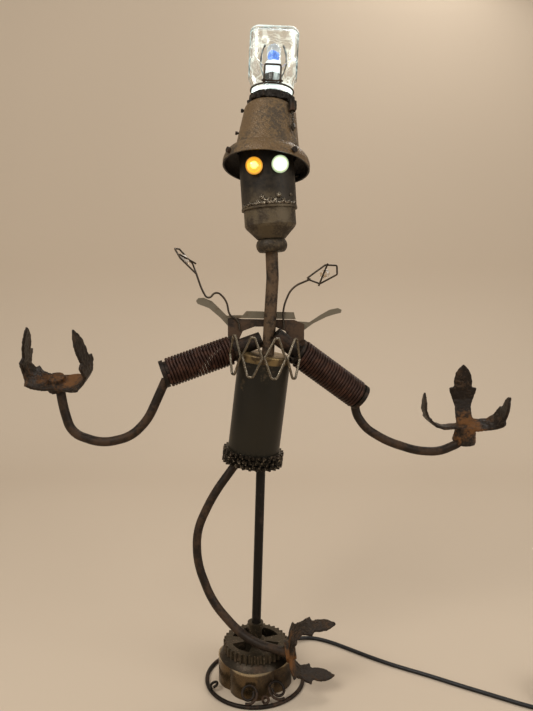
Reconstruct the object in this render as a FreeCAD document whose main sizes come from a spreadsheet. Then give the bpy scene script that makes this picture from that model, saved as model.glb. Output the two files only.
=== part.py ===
import FreeCAD, Part
import Sketcher
import os
from math import acos, asin, atan2, ceil, cos, degrees, pi, radians, sin, sqrt, tan

# Robot shaped desk lamp, welded up from scrap: a jar light on a bell-shaped hat, two pilot-lamp
# eyes, spring arms with bent-bar forearms, leaf-casting hands and foot, a gear and a lobed cup.
# Millimetres. +Z up, +X to the viewer's right, +Y away from the viewer. The origin is the centre
# of the wire ring that the lamp stands on, at the height of the table.

X_AXIS = FreeCAD.Vector(1, 0, 0)
Y_AXIS = FreeCAD.Vector(0, 1, 0)
Z_AXIS = FreeCAD.Vector(0, 0, 1)
FULL_TURN = 2 * pi

SIZES = {
    # running and assembly clearances
    "gap": 0.3,
    "slip": 0.1,
    # wire ring and scrolls under the base
    "ring_radius": 50.2,
    "ring_wire": 2.0,
    "scroll_wire": 1.3,
    "scroll_radius": 8.8,
    "scroll_lean": 68,
    # lobed cup, its bottom plate and the bell that closes it
    "lobe_offset": 14.0,
    "lobe_radius": 24.3,
    "lobe_turn": -7,
    "cup_height": 28.0,
    "cup_wall": 1.8,
    "plate_thickness": 3.0,
    "bell_skirt": 27.0,
    "bell_bore": 22.0,
    "bell_flange": 36.8,
    "bell_top": 31.6,
    "bell_rise": 6.0,
    "bell_web": 2.5,
    # gear on the bell, with its post and collar
    "gear_teeth": 34,
    "gear_root": 31.0,
    "gear_tip": 33.4,
    "gear_width": 9.0,
    "gear_window_inner": 11.0,
    "gear_window_outer": 25.0,
    "gear_windows": 4,
    "post_foot": 8.5,
    "post_top": 6.6,
    "post_height": 13.0,
    "collar_radius": 8.2,
    "collar_height": 6.0,
    # stem
    "stem_radius": 4.7,
    "stem_bore": 3.4,
    "stem_foot_x": 1.0,
    "stem_lean": 1.7,
    "stem_socket": 12.0,
    # waist sprockets and torso
    "torso_x": -2.775,
    "torso_y": 3.506,
    "torso_z": 230.92,
    "torso_lean": 6.8,
    "torso_back": -3.0,
    "sprocket_teeth": 27,
    "sprocket_tip": 31.0,
    "sprocket_root": 27.6,
    "sprocket_width": 3.8,
    "sprocket_pitch": 5.2,
    "sprocket_hub": 24.5,
    "tube_radius": 26.2,
    "tube_wall": 2.0,
    "tube_length": 90.5,
    "cap_radius": 25.6,
    "cap_height": 8.0,
    "cap_wall": 2.0,
    "cap_spigot": 6.0,
    # neck
    "neck_radius": 6.2,
    "neck_bore": 4.6,
    "neck_drop": 14.0, "neck_seat": 2.9, "neck_bend": -1.2, "neck_bend_drop": 25.5, "neck_bend_radius": 60.0,
    # shoulder lugs, springs and elbows
    "spring_wire": 1.3,
    "spring_radius": 13.2,
    "left_spring_turns": 21,
    "right_spring_turns": 24,
    "lug_spigot": 9.0,
    "lug_flange": 13.8,
    "lug_flange_width": 3.0,
    "lug_bar": 8.0,
    "lug_reach": 30.0,
    "elbow_spigot": 10.0,
    "elbow_width": 4.0,
    # bent bars
    "bar_radius": 4.5,
    "leg_radius": 4.4,
    # leaf castings
    "leaf_length": 80.0,
    "leaf_width": 28.0,
    "leaf_thickness": 3.6,
    "palm_radius": 10.5, "palm_thickness": 14.0,
    "lump_radius": 12.0, "lump_thickness": 20.0, "heel_radius": 10.5, "heel_thickness": 10.0,
    # collar of bent wire links round the shoulders
    "link_wire": 1.2,
    "link_height": 37.6,
    "link_slack": 0.35,
    "link_top": 3.6,
    "link_foot": 5.0,
    "link_corner": 2.6,
    "links": 4,
    "link_pitch": 37.0,
    "link_start": -58.0,
    "link_ring": 35.5, "links_x": 10.8, "links_y": -10.1, "link_tilt": 4.6,
    # sheet steel behind the neck
    "yoke_front": 5.0,
    "yoke_thickness": 3.0,
    "sheet_thickness": 1.6,
    # antennae
    "antenna_wire": 1.0,
    "frame_wire": 0.9,
    "stone_radius": 4.2,
    # head
    "head_x": 17.6,
    "head_z": 443.5,
    "head_lean": -3.66,
    "head_collar": 12.4,
    "head_bulge": 8.2,
    "head_collar_height": 12.7,
    "bowl_foot": 14.0,
    "bowl_radius": 25.4,
    "bowl_shoulder": 24.0,
    "bowl_height": 28.0,
    "bowl_flange": 27.4,
    "bowl_wall": 2.0,
    "can_radius": 26.9,
    "can_wall": 1.4,
    "can_height": 54.0,
    "weld_radius": 1.7, "weld_length": 61.0,
    # eyes
    "eye_spacing": 24.4,
    "eye_height": 78.6,
    "bezel_radius": 8.0,
    "bezel_width": 2.2,
    "lamp_radius": 6.4,
    "lamp_length": 13.0,
    "lens_radius": 6.5,
    "lens_rise": 3.4,
    # hat
    "hat_x": 11.6,
    "hat_y": -3.0,
    "hat_z": 523.7,
    "hat_lean": 4.0,
    "hat_back": 11.6,
    "brim_radius": 42.5,
    "brim_rise": 4.0,
    "brim_arc": 14.5,
    "hat_step": 16.0,
    "hat_base": 31.5,
    "hat_top": 25.8,
    "hat_round": 6.0,
    "hat_height": 61.6,
    "hat_wall": 1.6,
    "pipe_radius": 5.0,
    "pipe_bore": 3.4,
    "pipe_stand": 7.0,
    "screw_radius": 1.6,
    "screw_head": 2.7,
    "screw_height": 4.6,
    "screw_azimuth": -54.0,
    "screws": 4,
    # pull switch
    "switch_azimuth": -44.0,
    "switch_height": 49.0,
    "switch_length": 11.5,
    "switch_radius": 3.0,
    "switch_bore": 1.6,
    "chain_bead": 1.15,
    "chain_core": 0.55,
    "chain_pitch": 2.6,
    "chain_beads": 9,
    "chain_travel": 8.0,
    "drop_radius": 2.5,
    "drop_length": 8.0,
    # scrap crown, lamp holder and bulb
    "crown_outer": 20.0,
    "crown_inner": 13.5,
    "crown_height": 11.0,
    "nugget_radius": 3.3,
    "nuggets": 13,
    "holder_radius": 8.4,
    "holder_height": 21.6,
    "bulb_base_radius": 7.3,
    "bulb_base_height": 12.0,
    "bulb_radius": 6.8,
    "bulb_height": 18.0,
    # jar
    "jar_x": 17.1,
    "jar_y": 9.8,
    "jar_z": 594.5,
    "jar_lean": 2.8,
    "jar_back": 4.0,
    "jar_width": 47.4,
    "jar_height": 61.1,
    "jar_corner": 10.0,
    "jar_edge": 6.0,
    "jar_wall": 3.0,
    "jar_neck": 20.0,
    "jar_mouth": 16.6,
    "jar_neck_height": 8.0, "jar_shoulder": 23.0, "jar_shoulder_radius": 29.8,
    "jar_rest": 0.3,
    # jar wire and clasp
    "clasp_wire": 0.9,
    "clasp_band": 6.0,
    "clasp_width": 15.4,
    "clasp_rise": 15.0,
    "clasp_stand": 25.6,
    "clasp_eye": 1.9,
    # cord
    "cord_radius": 2.1,
    "cord_exit_height": 12.0,
    "cord_azimuth": 60.0,
    "relief_length": 20.0,
    "relief_root": 4.2,
    "relief_tip": 2.8,
    "coil_outer": 28.0,
    "coil_step": 5.4,
    "coil_lift": 4.8,
    "coil_x": 322.0,
    "coil_y": -42.0,
    "coil_start": -118.0,
    "plug_length": 34.0,
    "plug_width": 15.0,
    "plug_height": 8.0,
    "plug_tongue": 12.0,
}

doc = FreeCAD.newDocument("RobotDeskLamp")
sheet = doc.addObject("Spreadsheet::Sheet", "Sizes")
for row, (alias, number) in enumerate(SIZES.items(), start=1):
    sheet.set("A%d" % row, alias)
    sheet.set("B%d" % row, str(number))
    sheet.setAlias("B%d" % row, alias)
doc.recompute()
nodes = {}


def size(name):
    """A driving size, read back from the spreadsheet."""
    return float(sheet.get(name))


# A formula is a sum of named sizes, such as "cap_radius - 2*cap_wall"

def total(formula):
    """The number that a formula comes to."""
    result, sign = 0.0, 1
    for word in formula.split():
        if word in ("+", "-"):
            sign = 1 if word == "+" else -1
            continue
        factor, _, name = word.rpartition("*")
        value = size(name) if name[0].isalpha() else float(name)
        result += sign * value * (float(factor) if factor else 1)
        sign = 1
    return result


def bound(formula):
    """The formula as the spreadsheet's own expression."""
    words = []
    for word in formula.split():
        factor, star, name = word.rpartition("*")
        words.append(factor + star + ("Sizes." + name if name[0].isalpha() else name))
    return " ".join(words)


def vec(x, y, z):
    return FreeCAD.Vector(x, y, z)


def leaning(x, y, z, right=0.0, back=0.0):
    """The place of a piece that leans to the right, then back from the viewer."""
    turn = FreeCAD.Rotation(X_AXIS, -back).multiply(FreeCAD.Rotation(Y_AXIS, right))
    return FreeCAD.Placement(vec(x, y, z), turn)


def along(start, direction, up=Z_AXIS):
    """The place whose Z axis runs from start along direction, with Y as near up as it can be."""
    z = FreeCAD.Vector(direction).normalize()
    x = up.cross(z).normalize()
    y = z.cross(x)
    turn = FreeCAD.Rotation(FreeCAD.Matrix(
        x.x, y.x, z.x, 0, x.y, y.y, z.y, 0, x.z, y.z, z.z, 0, 0, 0, 0, 1))
    return FreeCAD.Placement(start, turn)


def keep(name, item):
    """Files an object under its node's name."""
    item.Label = name
    nodes[name] = item
    return item


def solid(name, shape):
    """A piece whose shape is set by its own code, kept as a node."""
    item = doc.addObject("Part::Feature", name)
    item.Shape = shape
    return keep(name, item)


def outline_sketch(body, name, corners, role="XZ_Plane"):
    """A closed outline whose corners are bound to the sizes. A corner with four entries is
    reached along an arc: its radius, and +1 or -1 where it bulges left or right of the way."""
    sketch = body.newObject("Sketcher::SketchObject", name)
    plane = next(f for f in body.Origin.OriginFeatures if f.Role == role)
    sketch.AttachmentSupport = [(plane, "")]
    sketch.MapMode = "FlatFace"
    points = [vec(total(c[0]), total(c[1]), 0) for c in corners]
    count = len(corners)
    ends = []
    for i in range(count):
        start, finish, corner = points[i], points[(i + 1) % count], corners[(i + 1) % count]
        if len(corner) == 2:
            sketch.addGeometry(Part.LineSegment(start, finish), False)
            ends.append((1, 2))
            continue
        radius, bulge = total(corner[2]), corner[3]
        chord = finish - start
        left = vec(-chord.y, chord.x, 0).normalize()
        reach = sqrt(max(radius ** 2 - (chord.Length / 2) ** 2, 0))
        centre = (start + finish) * 0.5 - left * (bulge * reach)
        first, last = (start, finish) if bulge < 0 else (finish, start)
        angles = [atan2(p.y - centre.y, p.x - centre.x) for p in (first, last)]
        circle = Part.Circle(centre, Z_AXIS, radius)
        sketch.addGeometry(Part.ArcOfCircle(circle, angles[0], angles[1]), False)
        ends.append((1, 2) if bulge < 0 else (2, 1))
    for i in range(count):
        joined = Sketcher.Constraint("Coincident", i, ends[i][1], (i + 1) % count, ends[(i + 1) % count][0])
        sketch.addConstraint(joined)
    for i, corner in enumerate(corners):
        for kind, formula, value in (("DistanceX", corner[0], points[i].x), ("DistanceY", corner[1], points[i].y)):
            if formula == "0":
                axis = -2 if kind == "DistanceX" else -1
                sketch.addConstraint(Sketcher.Constraint("PointOnObject", i, ends[i][0], axis))
                continue
            index = sketch.addConstraint(Sketcher.Constraint(kind, -1, 1, i, ends[i][0], value))
            sketch.setExpression("Constraints[%d]" % index, bound(formula))
        if len(corner) == 4:
            index = sketch.addConstraint(Sketcher.Constraint("Radius", (i - 1) % count, total(corner[2])))
            sketch.setExpression("Constraints[%d]" % index, bound(corner[2]))
    return sketch


def turned(name, corners, place):
    """A piece turned in a lathe: the outline of radius and height is spun round its Z axis."""
    body = doc.addObject("PartDesign::Body", name)
    sketch = outline_sketch(body, name + "_section", corners)
    spin = body.newObject("PartDesign::Revolution", name + "_turn")
    spin.Profile = sketch
    spin.ReferenceAxis = (sketch, ["V_Axis"])
    spin.Angle = 360
    body.Placement = place
    return body


def cut(name, blank, *tools):
    """The blank with the tools' shapes taken out of it."""
    result = doc.addObject("Part::Cut", name)
    result.Base = blank
    result.Tool = tools[0]
    if len(tools) > 1:
        group = doc.addObject("Part::MultiFuse", name + "_tools")
        group.Shapes = list(tools)
        result.Tool = group
    doc.recompute()
    return result


def cylinder(name, radius, height, place):
    """A plain round bar whose sizes are bound to the sheet."""
    item = doc.addObject("Part::Cylinder", name)
    item.setExpression("Radius", bound(radius))
    item.setExpression("Height", bound(height))
    item.Placement = place
    return item


def tube(name, outer, bore, height, place):
    """A round tube as one cylinder bored by another, both bound to the sheet."""
    body = cylinder(name + "_outer", outer, height, place)
    hole = cylinder(name + "_bore", bore, height, place)
    return cut(name, body, hole)


def shift(place, x=0.0, y=0.0, z=0.0):
    """The same place moved along its own axes."""
    return place.multiply(FreeCAD.Placement(vec(x, y, z), FreeCAD.Rotation()))


def disc(radius, height, place):
    """A bare round solid, for tools and for pieces that are set by code."""
    shape = Part.makeCylinder(radius, height)
    shape.Placement = place
    return shape


def rounded_wire(points, radius=None):
    """Straight runs joined by tangent arcs. With no radius, each arc is as large as 0.45 of its
    shorter run allows. Returns the wire and the arcs' radii."""
    edges, radii, last = [], [], points[0]
    for before, corner, after in zip(points, points[1:], points[2:]):
        inward, outward = (corner - before), (after - corner)
        turn = inward.getAngle(outward)
        shorter = min(inward.Length, outward.Length)
        bend = 0.45 * shorter / tan(turn / 2) if radius is None else radius
        trim = bend * tan(turn / 2)
        inward.normalize()
        outward.normalize()
        start, finish = corner - inward * trim, corner + outward * trim
        middle = corner + (outward - inward).normalize() * (bend / cos(turn / 2) - bend)
        edges.append(Part.LineSegment(last, start).toShape())
        edges.append(Part.Arc(start, middle, finish).toShape())
        radii.append(bend)
        last = finish
    edges.append(Part.LineSegment(last, points[-1]).toShape())
    return Part.Wire(edges), radii


def pipe(wire, radius):
    """A round bar swept along a wire."""
    edge = wire.OrderedEdges[0]
    start = edge.valueAt(edge.FirstParameter)
    heading = edge.tangentAt(edge.FirstParameter)
    circle = Part.Wire([Part.Circle(start, heading, radius).toShape()])
    return wire.makePipeShell([circle], True, False)


def bent_bar(name, points, radius):
    """A bar bent by hand through a few corners, its arcs as large as the runs allow."""
    wire, radii = rounded_wire([vec(*p) for p in points])
    shape = pipe(wire, radius)
    print("%s: length %.0f mm, tightest bend %.1f mm" % (name, wire.Length, min(radii)))
    return shape


def biarc(start, start_way, finish, finish_way):
    """Two arcs that leave start along one heading and reach finish along another."""
    span = finish - start
    ways = start_way + finish_way
    spare = 2 * (1 - start_way.dot(finish_way))
    lean = span.dot(ways)
    if spare < 1e-9:
        handle = span.dot(span) / (4 * span.dot(finish_way))
    else:
        handle = (-lean + sqrt(lean ** 2 + spare * span.dot(span))) / spare
    middle = (start + finish + (start_way - finish_way) * handle) * 0.5
    return [arc_from(start, start_way, middle), arc_from(finish, finish_way * -1, middle, True)]


def arc_from(start, way, finish, backwards=False):
    """The arc that leaves start along a heading and ends at finish."""
    chord = finish - start
    half = chord.Length / 2
    line = FreeCAD.Vector(chord).normalize()
    side = way - line * way.dot(line)
    if side.Length < 1e-7:
        ends = (finish, start) if backwards else (start, finish)
        return Part.LineSegment(*ends).toShape()
    side.normalize()
    rise = half * tan(way.getAngle(line) / 2)
    middle = (start + finish) * 0.5 + side * rise
    ends = (finish, middle, start) if backwards else (start, middle, finish)
    return Part.Arc(*ends).toShape()


def wound_tube(name, point, stations, radius, straight):
    """One unbroken tube along a curve given as a function of one number, on biarcs between the
    stations, with a straight run at each end. Prints its least gap to itself."""
    step = 1e-4
    places = [point(s) for s in stations]
    ways = [(point(s + step) - point(s - step)).normalize() for s in stations]
    edges = [Part.LineSegment(places[0] - ways[0] * straight, places[0]).toShape()]
    for i in range(len(stations) - 1):
        edges += biarc(places[i], ways[i], places[i + 1], ways[i + 1])
    edges.append(Part.LineSegment(places[-1], places[-1] + ways[-1] * straight).toShape())
    wire = Part.Wire(edges)
    samples = []
    for edge in edges:
        count = max(2, int(ceil(edge.Length / 2.0)))
        span = edge.LastParameter - edge.FirstParameter
        samples += [edge.valueAt(edge.FirstParameter + span * k / count) for k in range(count)]
    lengths = [0.0]
    for a, b in zip(samples, samples[1:]):
        lengths.append(lengths[-1] + (b - a).Length)
    least = min((samples[i] - samples[j]).Length for i in range(0, len(samples))
                for j in range(i + 1, len(samples)) if lengths[j] - lengths[i] > 8 * radius)
    print("%s: length %.0f mm, least gap to itself %.2f mm" % (name, wire.Length, least - 2 * radius))
    return pipe(wire, radius)


# Base: wire ring, scrolls, lobed cup, bottom plate, bell and gear

def make_ring():
    """A closed ring of round wire that the lamp stands on."""
    ring = doc.addObject("Part::Torus", "base_ring")
    ring.setExpression("Radius1", "Sizes.ring_radius")
    ring.setExpression("Radius2", "Sizes.ring_wire")
    ring.setExpression("Placement.Base.z", "Sizes.ring_wire")
    return keep("base_ring", ring)


CURL_SHRINK = 0.45


def scroll(azimuth, curl, turns, hand):
    """A flat spiral of wire that leans between the ring and the cup's wall."""
    wire_radius = size("scroll_wire")
    stations = [i * 0.25 for i in range(int(turns * 4) + 1)]
    ring_top = size("ring_wire") + size("ring_wire") + wire_radius
    out = vec(cos(radians(azimuth)), sin(radians(azimuth)), 0)
    side = vec(-out.y, out.x, 0) * hand
    # the curl leans in until it meets the cup's wall, if it is long enough
    steepest = sin(radians(size("scroll_lean")))
    for i in range(1, int(turns * 24)):
        shrink = curl * (1 - CURL_SHRINK * i / (turns * 24))
        angle = FULL_TURN * i / 24 - pi / 2
        room = size("ring_radius") - wire_radius - size("gap") - wall_ahead(out, side * (shrink * cos(angle)))
        steepest = min(steepest, room / (curl + shrink * sin(angle)))
    lean = asin(steepest)
    slope = (out * -sin(lean) + Z_AXIS * cos(lean))
    foot = out * size("ring_radius") + Z_AXIS * ring_top
    centre = foot + slope * curl

    def point(turn):
        shrink = curl * (1 - CURL_SHRINK * turn / turns)
        angle = FULL_TURN * turn - pi / 2
        return centre + side * (shrink * cos(angle)) + slope * (shrink * sin(angle))

    return wound_tube("scroll at %d" % azimuth, point, stations, wire_radius, 2 * wire_radius)


def wall_ahead(way, offset):
    """How far the cup's wall reaches along a level heading, on a line beside the middle."""
    best = 0.0
    for i in range(4):
        azimuth = radians(size("lobe_turn") + 90 * i)
        centre = vec(size("lobe_offset") * cos(azimuth), size("lobe_offset") * sin(azimuth), 0)
        across = centre - way * centre.dot(way) - offset
        if across.Length < size("lobe_radius"):
            best = max(best, centre.dot(way) + sqrt(size("lobe_radius") ** 2 - across.Length ** 2))
    return best


def make_scrolls():
    """Four curls: two large ones in front, one small between them and one on the left."""
    big = size("scroll_radius")
    curls = [scroll(-97, big, 1.25, 1), scroll(-57, big * 1.12, 1.25, -1), scroll(-77, big * 0.48, 0.75, 1),
             scroll(-152, big * 0.5, 0.75, -1)]
    return solid("base_scrolls", Part.makeCompound(curls))


def lobed(name, radius, height, bottom):
    """Four round lobes in one, like a cast handwheel."""
    lobes = []
    for i in range(4):
        azimuth = radians(size("lobe_turn") + 90 * i)
        place = FreeCAD.Placement(vec(size("lobe_offset") * cos(azimuth), size("lobe_offset") * sin(azimuth), bottom),
                                  FreeCAD.Rotation())
        lobes.append(cylinder("%s_lobe_%d" % (name, i + 1), radius, height, place))
    whole = doc.addObject("Part::MultiFuse", name)
    whole.Shapes = lobes
    doc.recompute()
    return whole


def cord_way():
    azimuth = radians(size("cord_azimuth"))
    return vec(cos(azimuth), sin(azimuth), 0)


def wall_radius(way, inset):
    """How far the cup's wall lies from the middle along a level heading."""
    best = 0.0
    for i in range(4):
        azimuth = radians(size("lobe_turn") + 90 * i)
        centre = vec(size("lobe_offset") * cos(azimuth), size("lobe_offset") * sin(azimuth), 0)
        ahead = centre.dot(way)
        across = centre.Length ** 2 - ahead ** 2
        best = max(best, ahead + sqrt((size("lobe_radius") - inset) ** 2 - across))
    return best


def relief_place():
    """Where the cord's strain relief starts, on the inner face of the cup's wall."""
    way = cord_way()
    inner = wall_radius(way, size("cup_wall")) - 3.0
    return along(way * inner + Z_AXIS * size("cord_exit_height"), way)


def make_base():
    make_ring()
    make_scrolls()
    outer = lobed("base_cup_outer", "lobe_radius", "cup_height", 0)
    inner = lobed("base_cup_inner", "lobe_radius - cup_wall", "cup_height", 0)
    hole = cylinder("base_cup_cord_hole", "relief_root + 0.05", "relief_length", relief_place())
    keep("base_cup", cut("base_cup", outer, inner, hole))
    plate = lobed("base_plate", "lobe_radius - cup_wall - slip", "plate_thickness", 0)
    keep("base_plate", plate)
    foot = "plate_thickness + 0.05"
    rim = "cup_height + 0.05"
    top = "cup_height + bell_rise"
    bell = turned("base_bell_blank", [
        ("bell_bore", foot), ("bell_skirt", foot), ("bell_skirt", rim), ("bell_flange", rim),
        ("bell_top", top, "bell_flange - bell_top + 2*bell_rise", 1 * -1),
        ("post_foot + gap", top), ("post_foot + gap", top + " - bell_web"), ("bell_bore", top + " - bell_web"),
    ], FreeCAD.Placement())
    channel = cylinder("base_bell_cord_hole", "relief_root + gap", "relief_length",
                       shift(relief_place(), z=-12))
    keep("base_drum", cut("base_drum", bell, channel))
    make_gear()


def toothed_body(name, root, tip, teeth, width, place):
    """A disc with its teeth as a polar pattern of one tooth."""
    body = doc.addObject("PartDesign::Body", name)
    blank = body.newObject("Sketcher::SketchObject", name + "_blank")
    plane = next(f for f in body.Origin.OriginFeatures if f.Role == "XY_Plane")
    blank.AttachmentSupport = [(plane, "")]
    blank.MapMode = "FlatFace"
    blank.addGeometry(Part.Circle(vec(0, 0, 0), Z_AXIS, total(root)), False)
    blank.addConstraint(Sketcher.Constraint("Coincident", 0, 3, -1, 1))
    index = blank.addConstraint(Sketcher.Constraint("Radius", 0, total(root)))
    blank.setExpression("Constraints[%d]" % index, bound(root))
    pad = body.newObject("PartDesign::Pad", name + "_disc")
    pad.Profile = blank
    pad.setExpression("Length", bound(width))
    # half the tooth's width at its root and at its tip, as shares of the tooth pitch
    pitch = FULL_TURN * total(root) / total(teeth)
    root_half, tip_half = "%.4f" % (0.30 * pitch), "%.4f" % (0.12 * pitch)
    tooth = outline_sketch(body, name + "_tooth", [
        (root + " - 1", "-" + root_half), (root, "-" + root_half), (tip, "-" + tip_half), (tip, tip_half),
        (root, root_half), (root + " - 1", root_half)], role="XY_Plane")
    bump = body.newObject("PartDesign::Pad", name + "_one_tooth")
    bump.Profile = tooth
    bump.setExpression("Length", bound(width))
    doc.recompute()
    pattern = body.newObject("PartDesign::PolarPattern", name + "_teeth")
    pattern.Originals = [bump]
    pattern.Axis = (tooth, ["N_Axis"])
    pattern.Angle = 360
    pattern.setExpression("Occurrences", bound(teeth))
    body.Tip = pattern
    body.Placement = place
    doc.recompute()
    return body


def stem_place():
    """The stem's lower end, inside the gear's post."""
    foot = size("cup_height") + size("bell_rise") + size("gear_width") + size("post_height")
    foot += size("collar_height") - size("stem_socket")
    return leaning(size("stem_foot_x"), 0, foot, size("stem_lean"))


def stem_length():
    """Up to the top face of the upper sprocket."""
    top = torso_place().multVec(vec(0, 0, sprocket_stack()))
    start = stem_place().Base
    return (top.z - start.z) / cos(radians(size("stem_lean"))) - 1.0


def make_gear():
    """Wide gear with windows, the post in its middle and the collar that grips the stem."""
    base = size("cup_height") + size("bell_rise") + 0.05
    place = FreeCAD.Placement(vec(size("stem_foot_x") / 2, 0, base), FreeCAD.Rotation())
    wheel = toothed_body("base_gear_wheel", "gear_root", "gear_tip", "gear_teeth", "gear_width", place)
    windows = []
    inner, outer = size("gear_window_inner"), size("gear_window_outer")
    count = int(size("gear_windows"))
    for i in range(count):
        sector = Part.makeCylinder(outer, size("gear_width") + 2, vec(0, 0, -1), Z_AXIS, 0.62 * 360 / count)
        core = Part.makeCylinder(inner, size("gear_width") + 2, vec(0, 0, -1), Z_AXIS)
        window = sector.cut(core)
        window.Placement = place.multiply(FreeCAD.Placement(vec(0, 0, 0), FreeCAD.Rotation(Z_AXIS, 360.0 * i / count + 20)))
        windows.append(window)
    holes = doc.addObject("Part::Feature", "base_gear_windows")
    holes.Shape = Part.makeCompound(windows)
    post = turned("base_gear_post", [
        ("0", "gear_width - 1"), ("post_foot", "gear_width - 1"), ("post_foot", "gear_width"),
        ("post_top", "gear_width + 3"), ("post_top", "gear_width + post_height"), ("0", "gear_width + post_height"),
    ], place)
    whole = doc.addObject("Part::MultiFuse", "base_gear_blank")
    whole.Shapes = [wheel, post]
    socket = cylinder("base_gear_socket", "stem_radius + 0.05", "stem_socket + post_height", stem_place())
    channel = cylinder("base_gear_channel", "stem_bore + 1", "gear_width + post_height + 2", shift(place, z=-1))
    keep("base_gear", cut("base_gear", whole, holes, socket, channel))
    top = shift(place, z=size("gear_width") + size("post_height") + 0.05)
    collar = cylinder("stem_collar_blank", "collar_radius", "collar_height", top)
    hole = cylinder("stem_collar_hole", "stem_radius + 0.05", "stem_socket + collar_height", stem_place())
    keep("stem_collar", cut("stem_collar", collar, hole))


# Stem, waist and torso

def torso_place():
    return leaning(size("torso_x"), size("torso_y"), size("torso_z"), size("torso_lean"), size("torso_back"))


def sprocket_stack():
    """Height of the three sprockets with their hubs between them."""
    return 2 * size("sprocket_pitch") + size("sprocket_width")


def make_waist():
    """The stem and the three sprockets that it carries, each with a plain hub on its top face."""
    stem_blank = cylinder("stem_outer", "stem_radius", "stem_socket", stem_place())
    stem_hole = cylinder("stem_inner", "stem_bore", "stem_socket", stem_place())
    for item in (stem_blank, stem_hole):
        item.setExpression("Height", None)
        item.Height = stem_length()
    keep("stem", cut("stem", stem_blank, stem_hole))
    reach = cylinder("waist_stem_hole", "stem_radius + 0.05", "stem_socket", stem_place())
    reach.setExpression("Height", None)
    reach.Height = stem_length() + 12
    for i, name in enumerate(("lower", "middle", "upper")):
        place = shift(torso_place(), z=i * size("sprocket_pitch"))
        turn = FreeCAD.Placement(vec(0, 0, 0), FreeCAD.Rotation(Z_AXIS, 5 * i))
        wheel = toothed_body("sprocket_" + name, "sprocket_root", "sprocket_tip", "sprocket_teeth",
                             "sprocket_width", place.multiply(turn))
        whole = wheel
        if name != "upper":
            hub = cylinder("hub_" + name, "sprocket_hub", "sprocket_pitch - sprocket_width - 0.05",
                           shift(place, z=size("sprocket_width")))
            whole = doc.addObject("Part::MultiFuse", "sprocket_blank_" + name)
            whole.Shapes = [wheel, hub]
        keep("waist_sprocket_" + name, cut("waist_sprocket_" + name, whole, reach))


def tube_place():
    return shift(torso_place(), z=sprocket_stack() + 0.05)


def cap_place():
    return shift(tube_place(), z=size("tube_length") + 0.05)


def head_place():
    return leaning(size("head_x"), 0, size("head_z"), size("head_lean"))


def neck_points():
    """The neck's lower end, inside the torso, its bend, and its upper end, inside the head's bowl."""
    seat = cap_place().multVec(vec(size("neck_seat"), 0, size("cap_height")))
    bend = head_place().multVec(vec(size("neck_bend"), 0, -size("neck_bend_drop")))
    top = head_place().multVec(vec(0, 0, size("head_collar_height") + 6))
    return seat - (bend - seat).normalize() * size("neck_drop"), bend, top


def make_torso():
    keep("torso_tube", tube("torso_tube", "tube_radius", "tube_radius - tube_wall", "tube_length", tube_place()))
    low, bend, high = neck_points()
    spigot = "tube_radius - tube_wall - 0.05"
    cap = turned("torso_cap_blank", [
        ("0", "0 - cap_spigot"), (spigot, "0 - cap_spigot"), (spigot, "0"), ("cap_radius", "0"),
        ("cap_radius", "cap_height - 2"), ("cap_radius - 2", "cap_height", "2", -1), ("0", "cap_height"),
    ], cap_place())
    hollow = cylinder("torso_cap_hollow", "tube_radius - tube_wall - 0.05 - cap_wall", "cap_spigot + cap_height - cap_wall",
                      shift(cap_place(), z=-size("cap_spigot")))
    hole = cylinder("torso_cap_hole", "neck_radius + 0.05", "neck_drop", along(low, bend - low, Y_AXIS))
    hole.setExpression("Height", None)
    hole.Height = 2 * size("neck_drop") + size("cap_height")
    keep("torso_cap", cut("torso_cap", cap, hollow, hole))
    route = rounded_wire([low, bend, high], size("neck_bend_radius"))[0]
    solid("neck", pipe(route, size("neck_radius")).cut(pipe(route, size("neck_bore"))))
    doc.recompute()


# Arms: shoulder lugs, springs, elbows, forearms. Each spring runs between two chosen places.

LEFT_SPRING = (vec(-21.7, -3.0, 347.0), vec(-86.2, -15.0, 324.6))
RIGHT_SPRING = (vec(44.3, -3.0, 344.1), vec(106.0, 12.0, 298.4))
LEFT_FOREARM = [(-86.6, -16.6, 318.5), (-104.5, -18, 279), (-121.5, -18, 262), (-150, -18, 255),
                (-180, -18, 265.5), (-186.8, -19, 290), (-189.6, -20, 311)]
RIGHT_FOREARM = [(102.8, 12.5, 293.5), (104.5, 14, 279), (115, 15, 263.5), (137, 15, 250),
                 (168, 15, 239.8), (192, 15, 238.8), (211, 14.5, 247.5), (216, 14, 254)]
LEG = [(-11.7, 2.6, 240), (-43, 0, 197), (-60, 0, 160), (-59.5, 0, 125), (-44, -3, 85), (-18, -14, 60.5),
       (4, -24.5, 51), (33, -30, 46.2)]


def spring(name, ends, turns):
    """A close-wound spring of round wire."""
    start, finish = ends
    place = along(start, finish - start)
    length = (finish - start).Length
    wire = size("spring_wire")
    pitch = (length - 2 * wire - 2 * size("gap")) / turns

    def point(turn):
        angle = FULL_TURN * turn
        radius = size("spring_radius")
        return place.multVec(vec(radius * cos(angle), radius * sin(angle), wire + size("gap") + pitch * turn))

    stations = [i * 0.5 for i in range(int(turns * 2) + 1)]
    return solid(name, wound_tube(name, point, stations, wire, 2 * wire))


def spigot_radius():
    """A plug that fills the spring's bore with a little clearance."""
    return size("spring_radius") - size("spring_wire") - 0.2


def lug(ends, clash):
    """Plug in the spring's inner end, a flange behind it and the bar that reaches the neck."""
    start, finish = ends
    way = (finish - start).normalize()
    spigot = disc(spigot_radius(), size("lug_spigot"), along(start, way))
    flange = disc(size("lug_flange"), size("lug_flange_width"), along(start - way * size("lug_flange_width"), way))
    bar = disc(size("lug_bar"), size("lug_reach"), along(start - way * size("lug_reach"), way))
    shape = spigot.fuse([flange, bar])
    for other in clash:
        shape = shape.cut(other)
    return max(shape.Solids, key=lambda s: s.Volume)


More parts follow.
